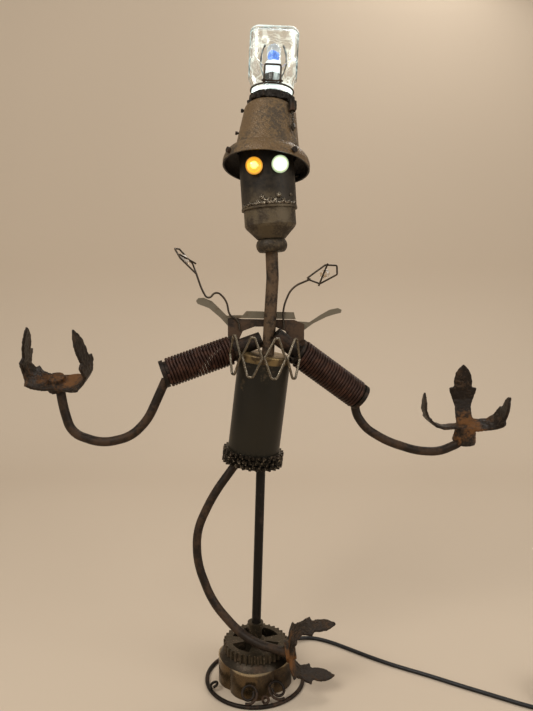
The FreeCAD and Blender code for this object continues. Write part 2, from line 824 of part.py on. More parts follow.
def elbow(name, ends, bar):
    """Plug in the spring's outer end with the flange that the forearm is welded to."""
    start, finish = ends
    way = (finish - start).normalize()
    spigot = disc(spigot_radius(), size("elbow_spigot"), along(finish - way * size("elbow_spigot"), way))
    flange = disc(size("lug_flange"), size("elbow_width"), along(finish + way * 0.1, way))
    bridge = disc(spigot_radius(), size("elbow_width"), along(finish - way * 1.0, way))
    return solid(name, max(spigot.fuse([flange, bridge]).cut(bar).Solids, key=lambda s: s.Volume))


# Leaf castings. A leaf leaves the palm level, curls up and carries two side lobes and a tip.
# Each station is the share of the leaf's length, and the share of its full width there.

SLIM_LEAF = [(0.0, 0.62), (0.20, 0.60), (0.34, 0.58), (0.46, 0.76), (0.58, 0.96), (0.63, 1.0), (0.65, 0.64),
             (0.75, 0.66), (0.86, 0.56), (0.94, 0.32), (1.0, 0.04)]
BROAD_LEAF = [(0.0, 0.85), (0.12, 0.95), (0.24, 1.08), (0.32, 1.25), (0.35, 0.85), (0.45, 0.66), (0.55, 0.92),
              (0.61, 1.05), (0.64, 0.58), (0.74, 0.66), (0.84, 0.60), (0.93, 0.34), (1.0, 0.04)]


def leaf(root, out, up, bend, share, stations):
    """A curled leaf of even thickness, its sides straight between the stations.

    Its bend is the level reach from the palm, the curl's radius and the curl's angle.
    """
    out = FreeCAD.Vector(out).normalize()
    up = (up - out * up.dot(out)).normalize()
    width_way = out.cross(up)
    reach, curl, turn = bend[0], bend[1], radians(bend[2])
    thick = size("leaf_thickness")
    sections = []
    for station, breadth in stations:
        run = station * share * size("leaf_length")
        if run < reach:
            place, angle = root + out * run, 0.0
        else:
            angle = min((run - reach) / curl, turn)
            place = root + out * (reach + curl * sin(angle)) + up * (curl * (1 - cos(angle)))
        tangent = out * cos(angle) + up * sin(angle)
        if run > reach + curl * turn:
            place = place + tangent * (run - reach - curl * turn)
        normal = up * cos(angle) - out * sin(angle)
        half = width_way * (breadth * size("leaf_width") / 2)
        taper = normal * (thick / 2 * (1 - 0.35 * station))
        corners = [place - half - taper, place + half - taper, place + half + taper, place - half + taper]
        sections.append(Part.makePolygon(corners + corners[:1]))
    return Part.makeLoft(sections, True, True)


def casting(name, palm, normal, kind, rise, leaves, stations, clash):
    """A palm with its leaves: each leaf gives its heading, its lift, its bend and its share of the length."""
    normal = FreeCAD.Vector(normal).normalize()
    radius, thickness = size(kind + "_radius"), size(kind + "_thickness")
    centre = Part.makeCone(radius, radius * 0.78, thickness)
    centre.Placement = along(palm - normal * (thickness / 2), normal, Y_AXIS)
    blades = [leaf(palm + Z_AXIS * rise, *item, stations) for item in leaves]
    shape = centre.fuse(blades)
    for other in clash:
        shape = shape.cut(other)
    return solid(name, max(shape.removeSplitter().Solids, key=lambda s: s.Volume))


def make_arms():
    torso = disc(size("tube_radius") + 0.05, size("tube_length"), tube_place())
    cap = disc(size("cap_radius") + 0.3, size("cap_height") + 0.05, cap_place())
    low, bend, high = neck_points()
    neck = disc(size("neck_radius") + 0.05, (bend - low).Length, along(low, bend - low, Y_AXIS))
    lugs = [lug(LEFT_SPRING, [torso, cap, neck])]
    lugs.append(lug(RIGHT_SPRING, [torso, cap, neck] + lugs))
    solid("shoulder_lugs", Part.makeCompound(lugs))
    spring("left_spring", LEFT_SPRING, size("left_spring_turns"))
    spring("right_spring", RIGHT_SPRING, size("right_spring_turns"))
    left_bar = bent_bar("left_forearm", LEFT_FOREARM, size("bar_radius"))
    right_bar = bent_bar("right_forearm", RIGHT_FOREARM, size("bar_radius"))
    for ends, bar, side in ((LEFT_SPRING, left_bar, "left"), (RIGHT_SPRING, right_bar, "right")):
        way = (ends[1] - ends[0]).normalize()
        spring_space = disc(size("lug_flange") + 2, 20, along(ends[1] - way * 19.9, way))
        bar = max(bar.cut(spring_space).Solids, key=lambda s: s.Volume)
        solid(side + "_forearm", bar)
        elbow(side + "_elbow", ends, bar)
    up = vec(0, -0.45, 0.89)
    casting("left_hand", vec(-192, -20, 316), up, "palm", 0, [
        (vec(-0.996, 0.087, 0), up, (9.5, 17, 104), 1.03), (vec(0.985, -0.17, 0), up, (19, 17, 97), 1.1)],
        BROAD_LEAF, [left_bar])
    casting("right_hand", vec(218, 14, 259), vec(0, -0.3, 0.95), "lump", 8, [
        (vec(-1, 0, -0.1), vec(0, 0, 1), (19, 22, 98), 0.875),
        (vec(0.1, 0.75, 0.62), vec(-0.12, -0.62, 0.9), (14, 20, 62), 0.875),
        (vec(1, -0.2, 0.05), vec(0, -0.55, 0.83), (16, 22, 80), 0.83)], SLIM_LEAF, [right_bar])
    leg = bent_bar("leg", LEG, size("leg_radius"))
    sprocket = disc(size("sprocket_tip") + 0.5, 40, torso_place())
    leg = max(leg.cut(sprocket).Solids, key=lambda s: s.Volume)
    solid("leg", leg)
    casting("foot", vec(36, -28, 47), vec(1, 0, 0.18), "heel", 0, [
        (vec(0, -0.1, 0.99), vec(1, 0, 0.26), (8, 18, 84), 0.79),
        (vec(0, 0.1, -0.99), vec(1, 0, 0.14), (8, 18, 84), 0.79)], BROAD_LEAF, [leg])


# Collar of bent wire links, sheet steel pieces and antennae

def wire_link(azimuth, height):
    """One diamond of bent wire, on a cylinder round the shoulders."""
    centre = vec(size("links_x"), size("links_y"), 0)
    ring = size("link_ring")
    half_height = size("link_height") / 2
    # neighbours all but touch at their side corners, which the bend rounds off a little
    half_width = (ring * radians(size("link_pitch")) - size("link_slack")) / 2 - size("link_wire")
    half_width += size("link_corner") * (sqrt(1 + (half_width / half_height) ** 2) - 1)

    def place(across, up):
        angle = radians(azimuth) + across / ring
        return centre + vec(ring * sin(angle), -ring * cos(angle), height + up)

    top, foot = size("link_top") / 2, size("link_foot") / 2
    left_top, right_top = place(-top, half_height), place(top, half_height)
    middle_top = (left_top + right_top) * 0.5
    corners = [middle_top, right_top, place(half_width, 0), place(foot, -half_height),
               place(-foot, -half_height), place(-half_width, 0), left_top, middle_top]
    edges, last = [], corners[0]
    for before, corner, after in zip(corners, corners[1:], corners[2:]):
        inward, outward = (corner - before), (after - corner)
        turn = inward.getAngle(outward)
        trim = min(size("link_corner") * tan(turn / 2), 0.9 * min(inward.Length, outward.Length) / 2)
        bend = trim / tan(turn / 2)
        inward.normalize()
        outward.normalize()
        start, finish = corner - inward * trim, corner + outward * trim
        middle = corner + (outward - inward).normalize() * (bend / cos(turn / 2) - bend)
        edges.append(Part.LineSegment(last, start).toShape())
        edges.append(Part.Arc(start, middle, finish).toShape())
        last = finish
    edges.append(Part.LineSegment(last, corners[-1]).toShape())
    link = pipe(Part.Wire(edges), size("link_wire"))
    # each link leans with the torso
    outward = vec(sin(radians(azimuth)), -cos(radians(azimuth)), 0)
    link.rotate(place(0, 0), outward, -size("link_tilt"))
    return link


def make_links():
    links = []
    for i in range(int(size("links"))):
        azimuth = size("link_start") + size("link_pitch") * i
        links.append(wire_link(azimuth, 343.8 - 1.2 * i))
    solid("ruff", Part.makeCompound(links))


# Outlines in the plane of the sheet, across and up, as seen from the front
YOKE = [(-27, 377.5), (-27, 353), (-16, 356), (-12, 365), (0, 369.5), (20, 369.5), (31, 365), (37, 352),
        (50, 351), (50, 372), (40, 376.3)]
SHOULDER_PLATE = [(-10.4, 378.0), (-27, 378.0), (-26, 381), (-12, 381), (-8.2, 385.2), (39.6, 384.0), (41.5, 376.9)]
LEFT_WING = [(-57.6, 392.4), (-59.2, 395.4), (-56.8, 398.2), (-51.5, 398.6), (-43, 395), (-35, 387.2),
             (-28.6, 380.8), (-13, 377), (-15, 361), (-20.5, 359.5), (-23.8, 366.5), (-34.8, 378.5), (-46, 388)]
RIGHT_WING = [(33.0, 375.5), (55.5, 373.9), (66.1, 381), (76, 386.6), (84.3, 388.2), (88.0, 386.4), (87.2, 383.4),
              (80, 381.6), (72.8, 379.3), (59.6, 372.8), (44.7, 362), (33.1, 353.6)]


def sheet_piece(name, outline, front, thickness, clash=(), rounded=0.0):
    """A flat piece of sheet steel, cut to an outline and standing behind the shoulders."""
    points = [vec(x, front, z) for x, z in outline]
    shape = Part.Face(Part.makePolygon(points + points[:1])).extrude(vec(0, thickness, 0))
    if rounded:
        upright = [e for e in shape.Edges if abs(e.tangentAt(e.FirstParameter).y) > 0.99]
        shape = shape.makeFillet(rounded, upright)
    for other in clash:
        shape = shape.cut(other)
    return solid(name, max(shape.Solids, key=lambda s: s.Volume))


def make_shoulders():
    lugs = nodes["shoulder_lugs"].Shape
    springs_room = [disc(size("lug_flange") + 1.2, 40, along(a - (b - a).normalize() * 1, b - a))
                    for a, b in (LEFT_SPRING, RIGHT_SPRING)]
    front, back = size("yoke_front"), size("yoke_front") + size("yoke_thickness")
    low, bend, high = neck_points()
    neck = disc(size("neck_radius") + 0.02, (bend - low).Length, along(low, bend - low, Y_AXIS))
    sheet_piece("shoulder_yoke", YOKE, front, size("yoke_thickness"), [neck] + lugs.Solids + springs_room)
    thin = size("sheet_thickness")
    sheet_piece("shoulder_plate", SHOULDER_PLATE, back - thin, thin, [neck, nodes["shoulder_yoke"].Shape])
    room = lugs.Solids + springs_room
    sheet_piece("left_wing", LEFT_WING, back + 0.05, thin, room)
    sheet_piece("right_wing", RIGHT_WING, back + 0.05, thin, room)


LEFT_ANTENNA = [(-15, 366), (-16.5, 376), (-25.5, 381), (-28, 396), (-38.5, 406), (-46.5, 395.5), (-53, 407),
                (-58.3, 423)]
RIGHT_ANTENNA = [(29.5, 367), (28.2, 388), (37, 409), (56, 417)]


def make_antennae():
    """Wavy wires on the yoke's front face, each with a bent wire frame that holds a stone."""
    wire, frame = size("antenna_wire"), size("frame_wire")
    plane = size("yoke_front") - wire - 0.05
    tips, stones = {}, []
    for side, route in (("left", LEFT_ANTENNA), ("right", RIGHT_ANTENNA)):
        points = [vec(x, plane, z) for x, z in route]
        path, radii = rounded_wire(points)
        solid(side + "_antenna", pipe(path, wire))
        tips[side] = points[-1]
    # the left frame is seen on edge and the right one nearly face on
    for side, lean, centre in (("left", 72.0, vec(-68.5, plane, 436)), ("right", 18.0, vec(69.0, plane, 422.0))):
        tilt = 128.0 if side == "left" else 17.0
        turn = FreeCAD.Rotation(Y_AXIS, -tilt).multiply(FreeCAD.Rotation(X_AXIS, lean))
        place = FreeCAD.Placement(centre, turn)
        outline = [(-17, 0), (-6, -8.5), (13, -4.5), (15, 4.5), (4, 8.5), (-10, 3.5), (-17, 0.9)]
        corners = [place.multVec(vec(u, 0, w)) for u, w in outline]
        path, radii = rounded_wire(corners, 1.6)
        hoop = pipe(path, frame)
        bar_ends = [place.multVec(vec(-8.0, -2.4, -9.5)), place.multVec(vec(6.5, -2.4, 10.0))]
        bar = disc(frame, (bar_ends[1] - bar_ends[0]).Length, along(bar_ends[0], bar_ends[1] - bar_ends[0], Y_AXIS))
        stone = Part.makeSphere(size("stone_radius"))
        matrix = FreeCAD.Matrix()
        matrix.scale(1.25, 0.72, 1.0)
        stone = stone.transformGeometry(matrix)
        stone.Placement = shift(place, x=1.0)
        joint = rod(tips[side], place.multVec(vec(-16.8, 0, 0.4)), frame)
        whole = hoop.fuse([bar, joint]).cut(nodes[side + "_antenna"].Shape)
        solid(side + "_setting", whole.cut(stone))
        stones.append(stone)
    solid("crystals", Part.makeCompound(stones))


def rod(start, finish, radius):
    """A straight round rod between two places."""
    return disc(radius, (finish - start).Length, along(start, finish - start, Y_AXIS))


# Head, eyes and mouth

def make_head():
    place = head_place()
    low, bend, high = neck_points()
    neck_hole = cylinder("head_neck_hole", "neck_radius + 0.05", "neck_drop", along(bend, high - bend, Y_AXIS))
    neck_hole.setExpression("Height", None)
    neck_hole.Height = (high - bend).Length + 1
    collar = turned("head_collar_blank", [
        ("0", "0"), ("head_collar", "0"), ("head_collar", "head_collar_height", "head_bulge", -1),
        ("0", "head_collar_height")], place)
    keep("head_collar", cut("head_collar", collar, neck_hole))
    low_shoulder = "head_collar_height + 10.5"
    top = "head_collar_height + bowl_height"
    wall = " - bowl_wall"
    bowl = turned("head_bowl_blank", [
        ("0", "head_collar_height + 0.05"), ("bowl_foot", "head_collar_height + 0.05"),
        ("bowl_shoulder", low_shoulder), ("bowl_radius", "head_collar_height + 13"), ("bowl_radius", top),
        ("bowl_flange", top), ("bowl_flange", top + " + 2"), ("bowl_radius" + wall, top + " + 2"),
        ("bowl_radius" + wall, "head_collar_height + 14"), ("bowl_foot" + wall, "head_collar_height + 3"),
        ("0", "head_collar_height + 3")], place)
    keep("head_bowl", cut("head_bowl", bowl, neck_hole))
    can_foot = size("head_collar_height") + size("bowl_height") + 2.05
    seat = shift(place, z=can_foot)
    can = turned("head_can_blank", [
        ("can_radius - can_wall", "0"), ("can_radius", "0"), ("can_radius", "can_height - 2"),
        ("can_radius - 2", "can_height", "2", -1), ("0", "can_height"), ("0", "can_height - can_wall"),
        ("can_radius - can_wall", "can_height - can_wall")], seat)
    tools = [cylinder("head_can_pipe_hole", "pipe_radius + 0.05", "hat_height", hat_place())]
    for side in (-1, 1):
        hole_place = shift(eye_place(side), z=2 - size("can_radius"))
        tools.append(cylinder("eye_hole_%d" % (side + 2), "lamp_radius + 0.05", "can_radius", hole_place))
    keep("head_can", cut("head_can", can, *tools))
    make_mouth(seat)
    make_eyes()


def make_mouth(seat):
    """Weld laid round the front of the joint, with the lumps that make the mouth above it."""
    radius = size("weld_radius")
    lumps = []
    for along_weld, height, bead in ((-28, 2, 1.0), (-20, 2, 1.1), (-11.3, 3, 1.2), (-6.6, 7, 1.5), (-3.3, 4, 1.3),
                                     (1, 5, 1.3), (5.6, 4, 1.2), (9.4, 8, 1.6), (14, 4, 1.1), (20.6, 2, 1.1),
                                     (29, 2, 1.0), (23.5, 9, 1.0)):
        angle = along_weld / size("can_radius") - pi / 2
        lump = Part.makeSphere(radius * bead)
        lump.Placement = shift(seat, x=size("can_radius") * cos(angle), y=size("can_radius") * sin(angle), z=height)
        lumps.append(lump)
    sweep = degrees(size("weld_length") / size("can_radius"))
    bead = Part.makeTorus(size("can_radius") + 0.4, radius * 0.8, vec(0, 0, 0), Z_AXIS, -180, 180, sweep)
    bead.Placement = seat.multiply(FreeCAD.Placement(vec(0, 0, 1.5), FreeCAD.Rotation(Z_AXIS, -90 - sweep / 2)))
    whole = bead.fuse(lumps)
    can = disc(size("can_radius") + 0.02, size("can_height"), seat)
    bowl = nodes["head_bowl"].Shape
    doc.recompute()
    whole = whole.cut(can).cut(bowl)
    solid("mouth_weld", Part.makeCompound([s for s in whole.Solids if s.Volume > 1.0]))


def eye_place(side):
    """On the can's front, facing the viewer. Z points out of the eye."""
    x = side * size("eye_spacing") / 2
    front = sqrt(size("can_radius") ** 2 - (abs(x) - size("bezel_radius")) ** 2)
    spot = head_place().multVec(vec(x, -front - 0.05, size("eye_height")))
    return along(spot, vec(0, -1, 0))


def make_eyes():
    bezels = []
    for side, name in ((-1, "left"), (1, "right")):
        place = eye_place(side)
        ring = disc(size("bezel_radius"), size("bezel_width"), place)
        barrel = disc(size("lamp_radius"), size("lamp_length"), shift(place, z=-size("lamp_length")))
        seat = disc(size("lens_radius") + 0.05, size("bezel_width"), shift(place, z=0.6))
        bezels.append(ring.fuse(barrel).cut(seat))
        lens_body = disc(size("lens_radius"), size("bezel_width") - 0.6, shift(place, z=0.65))
        # the lens is domed: a slice of a ball as wide as the lens
        ball_radius = (size("lens_radius") ** 2 + size("lens_rise") ** 2) / (2 * size("lens_rise"))
        ball = Part.makeSphere(ball_radius)
        ball.Placement = shift(place, z=size("bezel_width") + size("lens_rise") - ball_radius)
        dome = ball.common(disc(size("lens_radius"), size("lens_rise") + 1, shift(place, z=size("bezel_width"))))
        solid(name + "_eye_lens", lens_body.fuse(dome).removeSplitter())
    solid("eye_bezels", Part.makeCompound(bezels))


# Hat with its screws, lamp pipe, crown and pull switch

def hat_place():
    return leaning(size("hat_x"), size("hat_y"), size("hat_z"), size("hat_lean"), size("hat_back"))


def hat_radius(height):
    """The hat's outer radius on its tapered body."""
    share = (height - size("hat_step")) / (size("hat_height") - size("hat_round") - size("hat_step"))
    return size("hat_base") + share * (size("hat_top") - size("hat_base"))


def flank_place(azimuth, height, standoff):
    """A place beside the hat's tapered flank, whose Z axis runs down the flank."""
    slope = (size("hat_base") - size("hat_top")) / (size("hat_height") - size("hat_round") - size("hat_step"))
    angle = radians(azimuth)
    out = vec(cos(angle), sin(angle), 0)
    down = (Z_AXIS * -1 + out * slope).normalize()
    away = out * cos(atan2(slope, 1)) + Z_AXIS * sin(atan2(slope, 1))
    spot = out * hat_radius(height) + Z_AXIS * height + away * standoff
    turn = hat_place().Rotation
    return along(hat_place().multVec(spot), turn.multVec(down), turn.multVec(out))


def make_hat():
    place = hat_place()
    wall = " - hat_wall"
    body_top = "hat_height - hat_round"
    hat = turned("hat_blank", [
        ("brim_radius" + wall, "0"), ("brim_radius", "0"), ("brim_radius", "brim_rise"),
        ("hat_base + 1.2", "hat_step", "brim_arc", -1), ("hat_base", "hat_step + 0.5"), ("hat_top", body_top),
        ("hat_top - hat_round", "hat_height", "hat_round", -1), ("pipe_radius + 0.05", "hat_height"),
        ("pipe_radius + 0.05", "hat_height" + wall), ("hat_top - hat_round", "hat_height" + wall),
        ("hat_top" + wall, body_top, "hat_round - hat_wall", 1), ("hat_base" + wall, "hat_step"),
        ("hat_base" + wall, "hat_step - 1"), ("brim_radius" + wall, "brim_rise - 0.5", "brim_arc - hat_wall", 1),
    ], place)
    step = 360.0 / size("screws")
    screws, holes = [], []
    for i in range(int(size("screws"))):
        azimuth = radians(size("screw_azimuth") + step * i)
        out = place.Rotation.multVec(vec(cos(azimuth), sin(azimuth), 0))
        centre = place.multVec(vec(0, 0, size("screw_height")))
        reach = brim_radius_at(size("screw_height"))
        screws.append(rod(centre + out * (reach - 6), centre + out * (reach + 1), size("screw_radius")).fuse(
            rod(centre + out * (reach + 0.7), centre + out * (reach + 3.0), size("screw_head"))))
        holes.append(rod(centre + out * (reach - 6), centre + out * (reach + 2), size("screw_radius") + 0.05))
    for azimuth, height, radius in ((178, 58, 1.9), (184, 33, 1.7)):
        spot = flank_place(azimuth, height, 0.05)
        out = place.Rotation.multVec(vec(cos(radians(azimuth)), sin(radians(azimuth)), 0))
        knob = rod(spot.Base + out * 1.2, spot.Base + out * 3.4, radius)
        screws.append(rod(spot.Base - out * 1.0, spot.Base + out * 2.0, radius * 0.6).fuse(knob))
    drills = doc.addObject("Part::Feature", "hat_screw_holes")
    drills.Shape = Part.makeCompound(holes)
    hat = keep("hat", cut("hat", hat, drills))
    solid("hat_screws", Part.makeCompound([s.cut(hat.Shape) for s in screws]))
    pipe_foot = 11.0
    pipe_item = tube("lamp_pipe", "pipe_radius", "pipe_bore", "hat_height + pipe_stand - %.1f" % pipe_foot,
                     shift(place, z=pipe_foot))
    keep("lamp_pipe", pipe_item)
    make_switch()


def brim_radius_at(height):
    """The brim's outer radius on its rounded part, on the arc that the section draws."""
    low = (size("brim_radius"), size("brim_rise"))
    high = (size("hat_base") + 1.2, size("hat_step"))
    chord = sqrt((high[0] - low[0]) ** 2 + (high[1] - low[1]) ** 2)
    reach = sqrt(size("brim_arc") ** 2 - (chord / 2) ** 2)
    middle = ((low[0] + high[0]) / 2, (low[1] + high[1]) / 2)
    left = (-(high[1] - low[1]) / chord, (high[0] - low[0]) / chord)
    centre = (middle[0] + left[0] * reach, middle[1] + left[1] * reach)
    return centre[0] + sqrt(size("brim_arc") ** 2 - (height - centre[1]) ** 2)


def make_switch():
    """The pull switch's spout on the hat's flank, and the bead chain with its drop."""
    place = flank_place(size("switch_azimuth"), size("switch_height"), size("switch_radius") + 0.1)
    length = size("switch_length")
    spout = disc(size("switch_radius"), length, shift(place, z=-length))
    bore = disc(size("switch_bore"), length - 1, shift(place, z=-length + 1))
    doc.recompute()
    solid("pull_switch", spout.cut(bore).cut(nodes["hat"].Shape))
    beads = []
    first = -size("chain_travel") - size("chain_bead")
    for i in range(int(size("chain_beads"))):
        bead = Part.makeSphere(size("chain_bead"))
        bead.Placement = shift(place, z=first + size("chain_pitch") * i)
        beads.append(bead)
    last = first + size("chain_pitch") * (int(size("chain_beads")) - 1)
    core = disc(size("chain_core"), last - first + 2, shift(place, z=first))
    drop = Part.makeCone(size("chain_bead"), size("drop_radius"), size("drop_length") * 0.6)
    drop.Placement = shift(place, z=last + 1)
    point = Part.makeCone(size("drop_radius"), 0.6, size("drop_length") * 0.4)
    point.Placement = shift(place, z=last + 1 + size("drop_length") * 0.6)
    solid("pull_chain", core.fuse(beads + [drop, point]))


# Crown, lamp holder, bulb, jar and its wire

def jar_place():
    return leaning(size("jar_x"), size("jar_y"), size("jar_z"), size("jar_lean"), size("jar_back"))


def hat_fill():
    """The hat's outside as one closed shape, which trims what stands on it."""
    shape = disc(size("hat_top") + 12, 60, shift(hat_place(), z=size("hat_height") - 60 + 0.05))
    return shape


def make_crown():
    """A ring welded up from scrap nuggets that carries the jar's mouth."""
    place, fill = jar_place(), hat_fill()
    height = size("crown_height") + 6
    ring = disc(size("crown_outer") + 2, height, shift(place, z=-height - 0.05))
    lumps = []
    count = int(size("nuggets"))
    for i in range(count):
        angle = FULL_TURN * i / count
        rise = (2.0, 5.2, 3.4)[i % 3]
        spread = size("crown_outer") + (1.6, 0.2, 2.4)[i % 3]
        spot = shift(place, x=spread * cos(angle), y=spread * sin(angle), z=-height - 0.05)
        lumps.append(disc(size("nugget_radius"), height - rise, spot))
    whole = ring.fuse(lumps).cut(disc(size("crown_inner"), height + 2, shift(place, z=-height - 1)))
    whole = whole.cut(fill)
    solid("crown", max(whole.Solids, key=lambda s: s.Volume))
    pipe_room = disc(size("pipe_radius") + 0.05, size("hat_height") + size("pipe_stand") + 0.5, hat_place())
    holder = disc(size("holder_radius"), size("holder_height") + height, shift(place, z=-height))
    for azimuth in (0, 180):
        angle = radians(azimuth)
        way = vec(cos(angle), sin(angle), 0)
        base = vec(0, 0, size("holder_height") - 3) + way * (size("holder_radius") - 0.6)
        prong = rounded_wire([place.multVec(base), place.multVec(base + way * 5.0 + vec(0, 0, 12)),
                              place.multVec(base + way * 4.2 + vec(0, 0, 24)),
                              place.multVec(base + way * 1.6 + vec(0, 0, 32))])[0]
        holder = holder.fuse(pipe(prong, 0.8))
    base = disc(size("bulb_base_radius"), size("bulb_base_height"), shift(place, z=size("holder_height") + 0.05))
    holder = holder.cut(fill).cut(pipe_room).cut(base)
    solid("lamp_holder", max(holder.Solids, key=lambda s: s.Volume))
    top = shift(place, z=size("holder_height") + size("bulb_base_height") + 0.1)
    keep("bulb_base", cylinder("bulb_base", "bulb_base_radius", "bulb_base_height",
                               shift(place, z=size("holder_height") + 0.05)))
    bulb = turned("bulb", [
        ("0", "0"), ("bulb_radius", "0"), ("bulb_radius", "bulb_height - bulb_radius"),
        ("0", "bulb_height", "bulb_radius", -1)], top)
    keep("bulb", bulb)


def block(width, height, place, upright, edge):
    """A square block centred on its place, with rounded uprights and rounded ends."""
    shape = Part.makeBox(width, width, height, vec(-width / 2, -width / 2, 0))
    columns = [e for e in shape.Edges if abs(e.tangentAt(e.FirstParameter).z) > 0.9]
    shape = shape.makeFillet(upright, columns)
    rims = [e for e in shape.Edges if e.BoundBox.ZLength < 1e-6]
    shape = shape.makeFillet(edge, rims)
    shape.Placement = place
    return shape


def jar_form(place, inset, neck):
    """A square block with rounded edges that a cone narrows to the round neck below."""
    depth = 12.0
    body = block(size("jar_width") - 2 * inset, size("jar_height") - inset + depth, shift(place, z=-depth),
                 size("jar_corner") - inset, max(size("jar_edge") - inset, 1.0) + inset / 6)
    low = size("jar_neck_height") + inset * 0.2
    high, radius = low + size("jar_shoulder"), size("jar_shoulder_radius") - 1.06 * inset
    top = size("jar_height") + 1
    corners = [vec(0, 0, 0), vec(neck, 0, 0), vec(neck, 0, low), vec(radius, 0, high), vec(radius, 0, top), vec(0, 0, top)]
    profile = Part.Face(Part.makePolygon(corners + corners[:1]))
    cone = profile.revolve(vec(0, 0, 0), Z_AXIS, 360)
    cone.Placement = place
    return body.common(cone)


def make_jar():
    """A thick square glass jar turned mouth down, its round neck resting on the crown."""
    place = shift(jar_place(), z=size("jar_rest") - 0.3)
    wall = size("jar_wall")
    outer = jar_form(place, 0.0, size("jar_neck"))
    inner = jar_form(shift(place, z=-0.5), wall, size("jar_mouth"))
    solid("jar", outer.cut(inner))
    wire = size("clasp_wire")
    band = Part.makeTorus(size("jar_neck") + wire + 0.05, wire)
    band.Placement = shift(place, z=size("clasp_band"))
    pin_y = -size("clasp_stand")
    half = size("clasp_width") / 2 + 2.5
    pin = rod(place.multVec(vec(-half, pin_y, size("clasp_band"))), place.multVec(vec(half, pin_y, size("clasp_band"))), wire)
    struts = []
    for side in (-1, 1):
        x = side * (size("clasp_width") / 2 - 3.4)
        neck_y = -sqrt((size("jar_neck") + wire) ** 2 - x ** 2)
        struts.append(rod(place.multVec(vec(x, neck_y, size("clasp_band"))), place.multVec(vec(x, pin_y, size("clasp_band"))), wire * 0.8))
    solid("jar_wire", band.fuse([pin] + struts).cut(nodes["jar"].Shape))
    foot, top = size("clasp_band"), size("clasp_band") + size("clasp_rise")
    x = size("clasp_width") / 2
    loop = rounded_wire([place.multVec(vec(-x, pin_y, foot + 1.4)), place.multVec(vec(-x, pin_y - 0.6, top)),
                         place.multVec(vec(x, pin_y - 0.6, top)), place.multVec(vec(x, pin_y, foot + 1.4))], 2.0)[0]
    eyes, bores = [], []
    for side in (-1, 1):
        a = place.multVec(vec(side * x - 1.3, pin_y, foot))
        b = place.multVec(vec(side * x + 1.3, pin_y, foot))
        eyes.append(rod(a, b, size("clasp_eye")))
        bores.append(rod(a + (a - b), b + (b - a), wire + 0.08))
    solid("jar_clasp", pipe(loop, wire).fuse(eyes).cut(bores[0]).cut(bores[1]))


# Wiring and cord

def make_wiring():
    """The flex inside: from the strain relief up the stem, torso and neck to the lamp pipe."""
    start = relief_place()
    low, bend, high = neck_points()
    stem_low = stem_place().multVec(vec(0, 0, -10))
    stem_high = stem_place().multVec(vec(0, 0, stem_length() + 14))
    low_way, high_way = (bend - low).normalize(), (high - bend).normalize()
    pipe_low = hat_place().multVec(vec(0, 0, 8))
    pipe_high = hat_place().multVec(vec(0, 0, size("hat_height") + size("pipe_stand") - 1))
    points = [start.Base, start.Base * 0.35 + vec(0, 0, 9), stem_low, stem_high, low - low_way * 14, bend, high + high_way * 16,
              pipe_low, pipe_high]
    wire, radii = rounded_wire(points, 9.0)
    solid("inner_wiring", pipe(wire, 1.6))


CORD_ROUTE = [(43, 68, 4.5), (63, 76.3, 2.1), (84, 67.5, 2.1), (107, 50.5, 2.1), (130.5, 32.5, 2.1), (155, 16.6, 2.1),
              (182.8, 1.6, 2.1), (211, -16, 2.1), (240, -32.6, 2.1), (268, -49, 2.1)]


# turns in each layer, in the climb between two layers and in the tail that leaves the top one
SPIRAL, CLIMB, TAIL, LAYERS = 2.0, 0.5, 0.65, 4


def eased(share):
    """From 0 to 1 with a soft start and finish."""
    share = min(max(share, 0.0), 1.0)
    return share * share * (3 - 2 * share)


def coil_point(turn):
    """The coil's centreline: in, up a layer, out, up, in, up, out, then round and down to the table."""
    step, lift, outer = size("coil_step"), size("coil_lift"), size("coil_outer")
    layer = min(int(turn / (SPIRAL + CLIMB)), LAYERS - 1)
    rest = turn - layer * (SPIRAL + CLIMB)
    inner = outer - step * SPIRAL
    across = min(rest, SPIRAL) * step
    radius = outer - across if layer % 2 == 0 else inner + across
    height = layer * lift
    if rest > SPIRAL and layer < LAYERS - 1:
        height += lift * (rest - SPIRAL) / CLIMB
    elif rest > SPIRAL:
        tail = rest - SPIRAL
        radius += 1.5 * step * eased(tail / 0.25)
        height *= 1 - eased((tail - 0.1) / (TAIL - 0.1))
    angle = radians(size("coil_start")) + FULL_TURN * turn
    return vec(size("coil_x") + radius * cos(angle), size("coil_y") + radius * sin(angle), size("cord_radius") + height)


